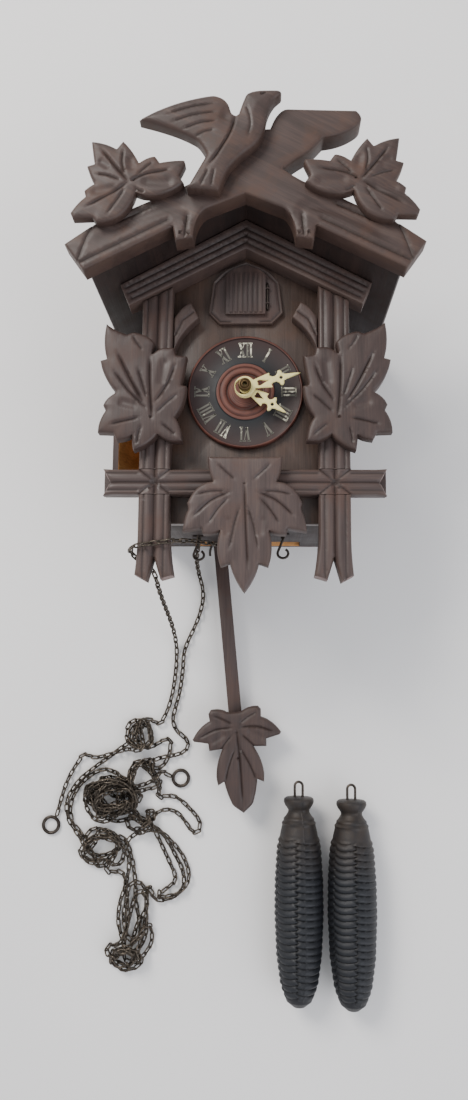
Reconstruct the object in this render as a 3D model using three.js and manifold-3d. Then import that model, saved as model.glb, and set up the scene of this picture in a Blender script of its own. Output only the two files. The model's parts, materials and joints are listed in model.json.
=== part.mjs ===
// Carved cuckoo clock of the one-day, two-weight kind, laid on its back with its chains heaped below it
// and its two cone weights beside them. Millimetres. The case back is the plane z = 0, +Z points out of
// the front, +Y up the case and +X to the clock's right as it is looked at. The origin is the point of
// the back straight behind the hand arbor.
import * as THREE from "three";
import { mergeVertices } from "three/addons/utils/BufferGeometryUtils.js";
import Module from "manifold-3d";

const wasm = await Module();
wasm.setup();

// ---- driving dimensions -------------------------------------------------------------------------
const GAP = 0.3; // between pieces that touch
const CASE_HALF = 60; // half the case's width, over its side panels
const CASE_DEPTH = 98; // wall to the face of the front panel
const CASE_BOTTOM = -80; // height of the case's under side
const WALL = 6; // side and bottom panels
const BACK_THICK = 4;
const HANG_HOLE_RADIUS = 4.5;
const HANG_HOLE_LEVEL = 88;
const FRONT_THICK = 8;

const degrees = THREE.MathUtils.degToRad;
const PITCH = degrees(28.5);
const ROOF_APEX = 105.5; // under side of the roof at the ridge
const ROOF_HALF = 88; // ridge to eave, measured level
const ROOF_THICK = 5;
const ROOF_DEPTH = 136.7;

const CREST_THICK = 13;
const CREST_LEAF_THICK = 6;
const BIRD_THICK = 8;
const FRAME_THICK = 11.7; // posts and crossbar
const TRIM_THICK = 13.7; // gable trim
const BRACE_THICK = 8.5;
const LEAF_THICK = 7.7;

const POST_CENTRE = 52.8; // clock's centre line to the post's
const POST_HALF = 9.2;
const BAR_LEVEL = -57; // crossbar's centre line
const BAR_HALF = 7.4;

const DIAL_RADIUS = 35;
const DIAL_THICK = 4;
const CHAPTER_INNER = 17.5; // where the black ring meets the turned centre
const PIPE_RADIUS = 2.2; // hour wheel's pipe
const PIPE_BORE = 1.5;
const PIPE_CLEAR = 1.8; // round the pipe in the front panel
const ARBOR_RADIUS = 1.1;
const HOUR_LENGTH = 29;
const MINUTE_LENGTH = 34;
const HAND_THICK = 1;
const HOUR_ANGLE = 122; // clockwise from twelve, degrees
const MINUTE_ANGLE = 76;

const DOOR_HALF = 12;
const DOOR_SILL = 48.2;
const DOOR_THICK = 2.4;
const DOOR_LAP = 1.5; // of the closed door over each side of its doorway
const DOORWAY_SILL = 51;
const DOORWAY_HEAD = 76;
const SURROUND_THICK = 3;
const HINGE_WIRE = 0.6; // radius

const PLATE_HALF = 36; // movement plates
const PLATE_LOW = -42;
const PLATE_HIGH = 44;
const PLATE_THICK = 1.5;
const BACK_PLATE_Z = 40;
const FRONT_PLATE_Z = 80;
const PILLAR_CLEAR = 1.3; // from a pillar to the chain beside it
const SPROCKET_RADIUS = 8.2;
const WHISTLE_WALL_CLEAR = 0.5; // from a whistle box to the side panel
const WHISTLE_CLEAR = 4; // that and the space to the movement's plates

const ANCHOR_LEVEL = 30; // height of the arbor that the pendulum swings on
const PENDULUM_LEAN = degrees(5.67);
const ROD_WIDTH = 8.8;
const ROD_THICK = 3;
const ROD_LENGTH = 150;
const ROD_TOP = [-19.8, -70.5];
const ROD_Z = 9.5;
const BOB_THICK = 7;
const PENDULUM_SLOT_HALF = 36;
const PENDULUM_SLOT_FRONT = 24;

const SIDE_DOOR_LOW = -48;
const SIDE_DOOR_HIGH = 32;
const SIDE_DOOR_BACK = 14;
const SIDE_DOOR_FRONT = 84;
const SIDE_DOOR_THICK = 4.5;
const SIDE_DOOR_CLEAR = 0.5;
const LEFT_DOOR_AJAR = 20; // degrees

const CHAIN_DIAMETER = 4.2;
const CHAIN_HOLE_HALF = 4; // half the side of each hole that a chain leaves the case by
const RING_RADIUS = 6.4; // middle of the ring's wire
const RING_WIRE = 1.15;
const WEIGHT_LENGTH = 131;
const WEIGHT_RADIUS = 15.6;
const WEIGHTS = [
  { name: "left_weight", x: 35.1, top: -248.1 },
  { name: "right_weight", x: 69.6, top: -249.6 },
];

// ---- levels that follow from them ---------------------------------------------------------------
const FRONT_BACK = CASE_DEPTH - FRONT_THICK;
const INNER_HALF = CASE_HALF - WALL;
const APPLIED = CASE_DEPTH + GAP; // back of what is glued to the front panel
const FRAME_FACE = APPLIED + FRAME_THICK;
const CREST_BACK = ROOF_DEPTH + GAP;
const CREST_FACE = CREST_BACK + CREST_THICK;
const DIAL_FACE = APPLIED + DIAL_THICK;
const HOUR_HAND_Z = DIAL_FACE + 6;
const MINUTE_HAND_Z = HOUR_HAND_Z + 3;
const SURROUND_FACE = APPLIED + SURROUND_THICK;
const DOOR_BACK = SURROUND_FACE + GAP;
const DOORWAY_HALF = DOOR_HALF - DOOR_LAP;
const BOB_Z = ROD_Z + ROD_THICK + 0.4;
const CHAIN_RADIUS = CHAIN_DIAMETER / 2;
const LOOP_RADIUS = SPROCKET_RADIUS + CHAIN_RADIUS + GAP; // chain's centre line over a sprocket
const CHAIN_EXIT = CASE_BOTTOM - 1; // where a chain leaves the case

// Height of the roof's under side above the origin, at a distance x from the centre line.
const roofUnder = (x) => ROOF_APEX - Math.abs(x) * Math.tan(PITCH);
// Height of the gable trim's lower edge.
const trimUnder = (x) => 86 - Math.abs(x) * 0.509;

// ---- materials ----------------------------------------------------------------------------------
const finish = (color, roughness, metalness = 0) =>
  new THREE.MeshStandardMaterial({ color, roughness, metalness });
const stainedWood = finish("#5c4b46", 0.55);
const roofWood = finish("#3c2a28", 0.6);
const rawWood = finish("#b98a58", 0.7);
const dialPaint = finish("#33383c", 0.5);
const ivory = finish("#efe7c4", 0.45);
const brass = finish("#b08d4c", 0.35, 1);
const steel = finish("#6d6660", 0.4, 1);
const castIron = finish("#2f3338", 0.6, 0.4);
const birdPaint = finish("#7a5a3a", 0.6);

// ---- shape helpers ------------------------------------------------------------------------------
const object = new THREE.Group();

function add(name, geometry, material, parent = object) {
  const mesh = new THREE.Mesh(geometry, material);
  mesh.name = name;
  parent.add(mesh);
  return mesh;
}

// A shape from points: [x, y] is a straight run, [cx, cy, x, y] a curve pulled towards (cx, cy).
function outline(points) {
  const shape = new THREE.Shape();
  shape.moveTo(...points[0].slice(-2));
  for (const p of points.slice(1)) {
    if (p.length === 2) shape.lineTo(...p);
    else shape.quadraticCurveTo(...p);
  }
  return shape;
}

// The same points turned over to the other side of the centre line.
const mirrored = (points) => points.map((p) => p.map((v, i) => (i % 2 ? v : -v)));

// The left half of a symmetrical outline, walked back from its end to its start.
function otherHalf(points, centre = 0) {
  const back = [];
  for (let i = points.length - 1; i > 0; i--) {
    const end = points[i - 1].slice(-2);
    const control = points[i].length === 4 ? points[i].slice(0, 2) : [];
    back.push([...control, ...end].map((v, k) => (k % 2 ? v : 2 * centre - v)));
  }
  return back;
}

// A plate of that outline from z0 to z1.
function slab(shape, z0, z1, curveSegments = 4) {
  const g = new THREE.ExtrudeGeometry(shape, { depth: z1 - z0, bevelEnabled: false, curveSegments });
  return g.translate(0, 0, z0);
}

function box(x0, x1, y0, y1, z0, z1) {
  const g = new THREE.BoxGeometry(x1 - x0, y1 - y0, z1 - z0);
  return g.translate((x0 + x1) / 2, (y0 + y1) / 2, (z0 + z1) / 2);
}

// A round bar along Z.
function bar(radius, x, y, z0, z1, sides = 10) {
  const g = new THREE.CylinderGeometry(radius, radius, z1 - z0, sides).rotateX(Math.PI / 2);
  return g.translate(x, y, (z0 + z1) / 2);
}

function circlePath(radius, x, y) {
  const path = new THREE.Path();
  path.absarc(x, y, radius, 0, 2 * Math.PI, true);
  return path;
}

function rectPath(x0, x1, y0, y1) {
  const path = new THREE.Path();
  path.moveTo(x0, y0);
  path.lineTo(x0, y1);
  path.lineTo(x1, y1);
  path.lineTo(x1, y0);
  path.closePath();
  return path;
}

// A bar of round section along a smooth curve through the points.
function tube(points, radius, steps, sides = 8, tension = 0.5) {
  const curve = new THREE.CatmullRomCurve3(
    points.map((p) => new THREE.Vector3(...p)), false, "catmullrom", tension);
  const section = new THREE.Shape();
  for (let i = 0; i <= sides; i++) {
    const a = (2 * Math.PI * i) / sides;
    section[i ? "lineTo" : "moveTo"](radius * Math.cos(a), radius * Math.sin(a));
  }
  return new THREE.ExtrudeGeometry(section, { steps, bevelEnabled: false, extrudePath: curve });
}

function ring(radius, wire, x, y, z, around = 16) {
  return new THREE.TorusGeometry(radius, wire, 6, around).translate(x, y, z);
}

// A turned body on the Z axis: the profile is [radius, z] pairs, walked with the body on the left.
function turned(profile, x, y, segments = 16) {
  const g = new THREE.LatheGeometry(profile.map(([r, z]) => new THREE.Vector2(r, z)), segments);
  return g.rotateX(Math.PI / 2).translate(x, y, 0);
}

function solid(geometry) {
  const g = geometry.index ? geometry.toNonIndexed() : geometry.clone();
  g.deleteAttribute("normal");
  g.deleteAttribute("uv");
  const merged = mergeVertices(g, 1e-4);
  return new wasm.Manifold(new wasm.Mesh({
    numProp: 3,
    vertProperties: merged.attributes.position.array,
    triVerts: new Uint32Array(merged.index.array),
  }));
}

function geometryOf(manifold) {
  const m = manifold.getMesh();
  const g = new THREE.BufferGeometry();
  g.setAttribute("position", new THREE.BufferAttribute(new Float32Array(m.vertProperties), 3));
  g.setIndex(new THREE.BufferAttribute(new Uint32Array(m.triVerts), 1));
  g.computeVertexNormals();
  return g;
}

const join = (...parts) => geometryOf(parts.map(solid).reduce((a, b) => a.add(b)));
const cut = (body, ...tools) => geometryOf(tools.map(solid).reduce((a, b) => a.subtract(b), solid(body)));

// ---- case ---------------------------------------------------------------------------------------
function gableOutline(half, bottom) {
  return outline([[-half, bottom], [half, bottom], [half, roofUnder(half) - GAP],
    [0, ROOF_APEX - GAP], [-half, roofUnder(half) - GAP]]);
}

function buildCase() {
  const back = gableOutline(CASE_HALF, CASE_BOTTOM);
  back.holes.push(circlePath(HANG_HOLE_RADIUS, 0, HANG_HOLE_LEVEL));
  add("back_panel", slab(back, 0, BACK_THICK), rawWood);

  const front = gableOutline(CASE_HALF, CASE_BOTTOM);
  front.holes.push(circlePath(PIPE_RADIUS + PIPE_CLEAR, 0, 0));
  front.holes.push(rectPath(-DOORWAY_HALF, DOORWAY_HALF, DOORWAY_SILL, DOORWAY_HEAD));
  add("front_panel", slab(front, FRONT_BACK, CASE_DEPTH), stainedWood);

  const inside0 = BACK_THICK + GAP;
  const inside1 = FRONT_BACK - GAP;
  const top = roofUnder(CASE_HALF) - GAP;
  for (const [name, x0, x1] of [["left_side_panel", -CASE_HALF, -INNER_HALF],
    ["right_side_panel", INNER_HALF, CASE_HALF]]) {
    const wall = box(x0, x1, CASE_BOTTOM, top, inside0, inside1);
    const doorway = box(x0 - 1, x1 + 1, SIDE_DOOR_LOW, SIDE_DOOR_HIGH, SIDE_DOOR_BACK, SIDE_DOOR_FRONT);
    add(name, cut(wall, doorway), stainedWood);
  }

  const floorHalf = INNER_HALF - GAP;
  const floorTop = CASE_BOTTOM + WALL;
  const chainHoles = [STRIKE, TIME].flatMap(({ x, chainZ }) =>
    [x - LOOP_RADIUS, x + LOOP_RADIUS].map((at) => box(at - CHAIN_HOLE_HALF, at + CHAIN_HOLE_HALF,
      CASE_BOTTOM - 1, floorTop + 1, chainZ - CHAIN_HOLE_HALF, chainZ + CHAIN_HOLE_HALF)));
  const pendulumSlot = box(-PENDULUM_SLOT_HALF, PENDULUM_SLOT_HALF, CASE_BOTTOM - 1, floorTop + 1,
    inside0 - 1, PENDULUM_SLOT_FRONT);
  add("bottom_panel", cut(box(-floorHalf, floorHalf, CASE_BOTTOM, floorTop, inside0, inside1),
    pendulumSlot, ...chainHoles), stainedWood);
}

function buildRoof() {
  const along = [Math.cos(PITCH), -Math.sin(PITCH)];
  const up = [Math.sin(PITCH), Math.cos(PITCH)];
  const ridge = GAP / 2;
  const run = (ROOF_HALF - ridge) / Math.cos(PITCH);
  const low = [ridge, roofUnder(ridge)];
  const eave = [low[0] + run * along[0], low[1] + run * along[1]];
  const ridgeTop = [ridge, low[1] + ROOF_THICK / Math.cos(PITCH)];
  const board = [low, eave, [eave[0] + ROOF_THICK * up[0], eave[1] + ROOF_THICK * up[1]], ridgeTop];
  add("right_roof_board", slab(outline(board), 0, ROOF_DEPTH), roofWood);
  add("left_roof_board", slab(outline(mirrored(board)), 0, ROOF_DEPTH), roofWood);
}

// Each side door turns on pins at its rear edge. The left one stands ajar.
function buildSideDoors() {
  const make = (name, side, ajar) => {
    const hinge = new THREE.Group();
    hinge.position.set(side * CASE_HALF, 0, SIDE_DOOR_BACK + SIDE_DOOR_CLEAR - GAP);
    hinge.rotation.y = side * degrees(ajar);
    object.add(hinge);
    const x = [-SIDE_DOOR_CLEAR, -SIDE_DOOR_CLEAR - SIDE_DOOR_THICK].map((v) => v * side);
    const length = SIDE_DOOR_FRONT - SIDE_DOOR_BACK - 2 * SIDE_DOOR_CLEAR;
    add(name, box(Math.min(...x), Math.max(...x), SIDE_DOOR_LOW + SIDE_DOOR_CLEAR,
      SIDE_DOOR_HIGH - SIDE_DOOR_CLEAR, GAP, GAP + length), stainedWood, hinge);
  };
  make("left_side_door", -1, LEFT_DOOR_AJAR);
  make("right_side_door", 1, 0);
}

// ---- carvings -----------------------------------------------------------------------------------
const CREST_LEAF = [[86.3, 128.6], [77.9, 127.8, 72, 124], [68.4, 128.8], [62.7, 123, 59.2, 115.4],
  [54.6, 119, 50.2, 119.3], [47.5, 115.4], [41, 116.7, 33.7, 116.6], [33, 114.3], [36.4, 107],
  [33.8, 103], [42, 96, 51.6, 95.5], [56.7, 95.3, 60.6, 97.3], [62.8, 89.2, 68.4, 84.3],
  [74, 80.2, 82.2, 80], [84.5, 82.8], [95.6, 82.5], [97, 86], [93.3, 92, 88.8, 95.5], [89.6, 99],
  [87, 101.7, 83.8, 103.2], [86.8, 108, 88.5, 113.8], [84.3, 115], [85.4, 121.7, 86.3, 128.6]];

const SIDE_LEAF = [[82.2, 37], [78.7, 33.5, 69.8, 30.2], [67.5, 31.4, 65.5, 31.6],
  [55.8, 29.5, 53.4, 24.8], [54.7, 18.2], [51.2, 21.6, 47.3, 22.1], [41.7, 21.9], [40.5, 17.4],
  [34, 16.6], [37.2, -0.8], [34, -1.5], [34.3, -12.3, 40.4, -20.4], [36.8, -24.3, 35.9, -34.7],
  [42.5, -34.7], [47.5, -33.2, 50.5, -30.5], [54.3, -36.6, 64.5, -40.3], [65.7, -34.3, 65.4, -31],
  [67.7, -33.2, 74.4, -34], [76.5, -29.7], [85.6, -29.4], [85.8, -22.7, 81.4, -16.1],
  [82.9, -12.9], [81.2, -8, 75.3, -5.1], [83.4, 3.3, 85.3, 14.3], [81.5, 15.3], [84.4, 25.4, 82.2, 37]];

// Right half of the leaf under the dial, from the middle of its top edge to its tip.
const LOWER_LEAF = [[0.5, -44.4], [22.1, -44], [21.9, -52, 18.8, -58.6], [28.1, -58.6, 33.6, -71.2],
  [32.9, -74.6], [35.4, -80.5, 36, -87.8], [25.2, -85.8], [24.3, -89.4], [18.2, -89.7, 14.5, -87.2],
  [17.7, -97.4, 14.1, -107.8], [8.8, -106], [6.8, -114.6, 0.5, -122.7]];

// Right half of the pendulum's leaf in the pendulum's own upright frame, from top to tip.
const BOB_LEAF = [[0, -1], [4.8, -0.6], [9.8, 2.6, 15.8, 1.8], [17.6, -0.6], [17.2, -5.4],
  [24.8, -8.6, 29.6, -16.6], [28.6, -18], [19.4, -20], [19, -24.9], [14.5, -24.5, 10.4, -24.2],
  [17.6, -38, 15.2, -47.6], [11, -45.4], [9.4, -55, 6.4, -61], [0, -66.4]];

// Bird with its left wing, one board standing proud of the crest.
const BIRD = [[-59.3, 140.3], [-40.5, 151.7, -18.1, 154.3], [-9.5, 153.4, -8.1, 145.6],
  [-6, 140.4, -3.4, 143.2], [-0.9, 151.6, 0.8, 154.8], [3.4, 157, 9.4, 157.2], [18, 157.1],
  [21.6, 156.6, 20.1, 154.4], [12.6, 149, 11.2, 135.5], [9.5, 126.5, 3.6, 122.3],
  [-8.3, 113.3, -10.8, 106], [-14.1, 97.2], [-31.9, 99], [-21.1, 119], [-25.9, 126.4],
  [-34.2, 133.4, -59.3, 140.3]];

// Crest board: two arms over the roof's front edges, an arch with drop stubs, and the right wing.
const CREST_RIGHT = [[0.5, 100], [21.4, 91.2], [27.6, 87.4, 28.8, 74], [38.8, 72.3], [40.3, 80.5],
  [90.2, 55], [101.3, 70.7]];
const CREST_TOP = [[85, 82.2], [60, 93.2, 47.3, 101.2], [34.5, 104.8, 21.6, 114.6], [30.2, 120.5],
  [37, 124.3, 44.1, 132.9], [56.2, 134.2, 64, 140.6], [68.4, 145.2, 63.2, 149.5], [24.2, 151.1],
  [18.1, 150.7, 14.2, 139], [9, 139], [0, 132], [-10, 120], [-24, 110], [-33.1, 105.3],
  [-58, 94, -85, 82.2]];

function buildCrest() {
  const left = otherHalf(CREST_RIGHT).slice(0, -1);
  const board = [...CREST_RIGHT, ...CREST_TOP, [-101.3, 70.7], ...left];
  add("crest_board", slab(outline(board), CREST_BACK, CREST_FACE), stainedWood);
  const applied = CREST_FACE + GAP;
  add("crest_bird", slab(outline(BIRD), applied, applied + BIRD_THICK), stainedWood);
  add("right_crest_leaf", slab(outline(CREST_LEAF), applied, applied + CREST_LEAF_THICK), stainedWood);
  add("left_crest_leaf", slab(outline(mirrored(CREST_LEAF)), applied, applied + CREST_LEAF_THICK),
    stainedWood);
}

function buildGableTrim() {
  const half = [[0, trimUnder(0)], [69.9, trimUnder(69.9)], [75.6, roofUnder(75.6) - 2 * GAP],
    [0, roofUnder(0) - 2 * GAP]];
  const left = otherHalf(half).slice(0, -1);
  add("gable_trim", slab(outline([...half, ...left]), APPLIED, APPLIED + TRIM_THICK), stainedWood);
}

// Posts and crossbar are half-lapped where they cross: the bar is in front.
function buildFrame() {
  const mid = APPLIED + FRAME_THICK / 2;
  const outer = POST_CENTRE + POST_HALF;
  const inner = POST_CENTRE - POST_HALF;
  const at = (dx) => POST_CENTRE + dx;
  const post = [[inner, trimUnder(inner) - GAP], [inner, -86], [at(-9.6), -100, at(-12), -112.2],
    [at(-4.6), -114.4], [at(-0.5), -101.3], [at(3.6), -115.6], [at(10.6), -111.8],
    [outer, -100, outer, -86], [outer, trimUnder(outer) - GAP]];
  const lap = BAR_HALF + GAP;
  for (const [name, side] of [["right_post", 1], ["left_post", -1]]) {
    const points = side > 0 ? post : mirrored(post);
    const x = side * POST_CENTRE;
    const seat = box(x - 1.5 * POST_HALF, x + 1.5 * POST_HALF, BAR_LEVEL - lap, BAR_LEVEL + lap,
      mid, FRAME_FACE + 1);
    add(name, cut(slab(outline(points), APPLIED, FRAME_FACE), seat), stainedWood);
  }
  const half = [[0, BAR_LEVEL - BAR_HALF], [76, BAR_LEVEL - BAR_HALF], [83, BAR_LEVEL - 8.2],
    [79, BAR_LEVEL - 0.4], [83.2, BAR_LEVEL + 7.8], [76, BAR_LEVEL + BAR_HALF],
    [0, BAR_LEVEL + BAR_HALF]];
  const rail = slab(outline([...half, ...otherHalf(half).slice(0, -1)]), APPLIED, FRAME_FACE);
  const recess = (x) => box(x - POST_HALF - GAP, x + POST_HALF + GAP, BAR_LEVEL - 12,
    BAR_LEVEL + 12, APPLIED - 1, mid + GAP);
  add("crossbar", cut(rail, recess(POST_CENTRE), recess(-POST_CENTRE)), stainedWood);
}

function buildBraces() {
  const edge = POST_CENTRE - POST_HALF - GAP;
  const brace = [[edge - 10.1, 54.6], [edge - 3.3, 51.5, edge, 43.5], [edge, 21.7],
    [edge - 2.3, 34.3, edge - 15.2, 45]];
  add("right_arch_brace", slab(outline(brace), APPLIED, APPLIED + BRACE_THICK), stainedWood);
  add("left_arch_brace", slab(outline(mirrored(brace)), APPLIED, APPLIED + BRACE_THICK), stainedWood);
}

function buildLeaves() {
  const back = FRAME_FACE + GAP;
  add("right_side_leaf", slab(outline(SIDE_LEAF), back, back + LEAF_THICK), stainedWood);
  add("left_side_leaf", slab(outline(mirrored(SIDE_LEAF)), back, back + LEAF_THICK), stainedWood);
  const lower = [...LOWER_LEAF, ...otherHalf(LOWER_LEAF, 0.5).slice(0, -1)];
  add("lower_leaf", slab(outline(lower), back, back + LEAF_THICK + 1), stainedWood);
}

// ---- dial and hands -----------------------------------------------------------------------------
function buildDial() {
  const bore = PIPE_RADIUS + 0.9;
  const profile = [[bore, APPLIED], [DIAL_RADIUS, APPLIED], [DIAL_RADIUS, DIAL_FACE - 0.4],
    [DIAL_RADIUS - 0.7, DIAL_FACE + 0.6], [DIAL_RADIUS - 1.5, DIAL_FACE], [CHAPTER_INNER, DIAL_FACE],
    [CHAPTER_INNER - 0.8, DIAL_FACE + 0.8], [15.5, DIAL_FACE + 0.2], [11, DIAL_FACE + 0.2],
    [10.3, DIAL_FACE + 0.9], [9.4, DIAL_FACE + 0.3], [bore, DIAL_FACE + 0.3], [bore, APPLIED]];
  add("dial", turned(profile, 0, 0, 32), dialPaint);
}

// A pierced-hand outline along +Y: ring at the arbor, serrated blade, point at the length.
function handOutline(length, width, bore) {
  const half = [[0, -5], [4.6, -2.6], [4.6, 3.2], [2, 5], [1.5, length * 0.3],
    [width * 1.15, length * 0.44], [1.6, length * 0.56], [width, length * 0.66], [1, length * 0.74],
    [0, length]];
  const shape = outline([...half, ...otherHalf(half).slice(0, -1)]);
  shape.holes.push(circlePath(bore, 0, 0));
  return shape;
}

function buildHands() {
  const hands = [["hour_hand", HOUR_LENGTH, 4, PIPE_RADIUS + GAP, HOUR_HAND_Z, HOUR_ANGLE],
    ["minute_hand", MINUTE_LENGTH, 3.2, ARBOR_RADIUS + GAP, MINUTE_HAND_Z, MINUTE_ANGLE]];
  for (const [name, length, width, bore, z, angle] of hands) {
    const turn = new THREE.Group();
    turn.rotation.z = -degrees(angle);
    object.add(turn);
    add(name, slab(handOutline(length, width, bore), z, z + HAND_THICK), ivory, turn);
  }
  const base = MINUTE_HAND_Z + HAND_THICK + GAP;
  add("hand_nut", turned([[0, base], [3.8, base], [3.6, base + 2.2], [2.2, base + 3.4],
    [1.7, base + 4.6], [0, base + 4.8]], 0, 0, 12), brass);
}

// ---- cuckoo and its door ------------------------------------------------------------------------
function buildDoor() {
  const surround = [[0, 43], [16, 43], [22.7, 50], [20.2, 69.8], [12.4, 77.4], [0, 83]];
  const shape = outline([...surround, ...otherHalf(surround).slice(0, -1)]);
  shape.holes.push(rectPath(-DOORWAY_HALF, DOORWAY_HALF, DOORWAY_SILL, DOORWAY_HEAD));
  add("door_surround", slab(shape, APPLIED, SURROUND_FACE), stainedWood);

  const leaf = [[0, DOOR_SILL], [DOOR_HALF, DOOR_SILL], [DOOR_HALF, 72.6], [9.6, 76.6, 4, 78], [0, 79.6]];
  const pin = { x: DOOR_HALF + 1.2, z: DOOR_BACK + 1.4 };
  const eyes = [55, 64.5].map((y) => {
    const eye = new THREE.TorusGeometry(1.25, 0.35, 5, 10).rotateX(Math.PI / 2);
    return eye.translate(pin.x, y, pin.z);
  });
  const leafShape = outline([...leaf, ...otherHalf(leaf).slice(0, -1)]);
  const ribs = [-9, -6, -3, 0, 3, 6, 9].map((x) => box(x - 0.8, x + 0.8, DOOR_SILL + 1, 74,
    DOOR_BACK + DOOR_THICK - 0.2, DOOR_BACK + DOOR_THICK + 0.8));
  add("cuckoo_door", join(slab(leafShape, DOOR_BACK, DOOR_BACK + DOOR_THICK), ...ribs, ...eyes),
    stainedWood);

  const foot = SURROUND_FACE + GAP;
  add("door_hinge_wire", tube([[pin.x, 51.4, foot], [pin.x, 51.8, pin.z - 0.5], [pin.x, 53, pin.z],
    [pin.x, 60, pin.z], [pin.x, 66.6, pin.z], [pin.x, 67.8, pin.z - 0.5], [pin.x, 68.2, foot]],
    HINGE_WIRE, 16, 6, 0.3), steel);
}

function buildCuckoo() {
  const ball = (rx, ry, rz, x, y, z) =>
    new THREE.SphereGeometry(1, 12, 8).scale(rx, ry, rz).translate(x, y, z);
  const beak = new THREE.ConeGeometry(1.3, 5, 8).rotateX(Math.PI / 2).translate(0, 66.4, 87);
  add("cuckoo_bird", join(ball(5, 5.4, 12, 0, 62.4, 70), ball(4, 4.2, 4.8, 0, 66.4, 81.5), beak,
    box(-3, 3, 62.5, 64.3, 48, 60), box(-5.2, 5.2, 55.6, 57.2, 46, 82),
    box(-1.2, 1.2, 56, 60, 66, 74)), birdPaint);
}

// ---- movement -----------------------------------------------------------------------------------
const TIME = { x: 13, y: -20, wheel: 20.2, wheelZ: 66, chainZ: 60 };
const STRIKE = { x: -20, y: -20, wheel: 17, wheelZ: 54, chainZ: 50 };
const ESCAPE = { x: 0, y: 16, wheel: 9, z: 60 };
const PIN_WHEEL = { x: -20, y: -0.2, wheel: 12, z: 60 };
const FLY = { x: -20, y: 14.2 };
const HAMMER = { x: 28, y: 30 };
const CENTRE_WHEEL = 14;

// A toothed wheel. Teeth run 0.35 clear of the next pinion, so no pair binds at any angle.
function toothed(radius, teeth, depth, x, y, z0, z1) {
  const shape = new THREE.Shape();
  for (let i = 0; i < teeth; i++) {
    const step = (2 * Math.PI) / teeth;
    for (const [share, r] of [[0, radius - depth], [0.25, radius], [0.6, radius], [0.85, radius - depth]]) {
      const a = (i + share) * step;
      shape[i || share ? "lineTo" : "moveTo"](r * Math.cos(a), r * Math.sin(a));
    }
  }
  shape.closePath();
  return slab(shape, z0, z1).translate(x, y, 0);
}

// Arbor from the back plate to the front plate, its ends running in the plates' holes.
const arbor = (x, y, radius = ARBOR_RADIUS) =>
  bar(radius, x, y, BACK_PLATE_Z - 0.5, FRONT_PLATE_Z + PLATE_THICK + 0.5);

function buildPlates() {
  const pivots = [[0, 0], [TIME.x, TIME.y], [STRIKE.x, STRIKE.y], [ESCAPE.x, ESCAPE.y],
    [PIN_WHEEL.x, PIN_WHEEL.y], [FLY.x, FLY.y], [0, ANCHOR_LEVEL]];
  const plate = () => {
    const shape = outline([[-PLATE_HALF, PLATE_LOW], [PLATE_HALF, PLATE_LOW], [PLATE_HALF, PLATE_HIGH],
      [-PLATE_HALF, PLATE_HIGH]]);
    for (const [x, y] of pivots) shape.holes.push(circlePath(ARBOR_RADIUS + GAP, x, y));
    return shape;
  };
  const edge = PLATE_HALF - 4;
  const between = (STRIKE.x + TIME.x) / 2; // the fourth pillar stands between the two trains' chains
  const room = (TIME.x - STRIKE.x) / 2 - LOOP_RADIUS - CHAIN_RADIUS; // from there to either chain
  const pillars = [[between, PLATE_LOW + 4], [edge, PLATE_LOW + 4], [-edge, PLATE_HIGH - 4],
    [edge, PLATE_HIGH - 4]].map(([x, y]) => bar(room - PILLAR_CLEAR, x, y, BACK_PLATE_Z + 1,
    FRONT_PLATE_Z - GAP, 8));
  add("movement_back_plate", join(slab(plate(), BACK_PLATE_Z, BACK_PLATE_Z + PLATE_THICK), ...pillars),
    brass);
  add("movement_front_plate", slab(plate(), FRONT_PLATE_Z, FRONT_PLATE_Z + PLATE_THICK), brass);
}

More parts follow.
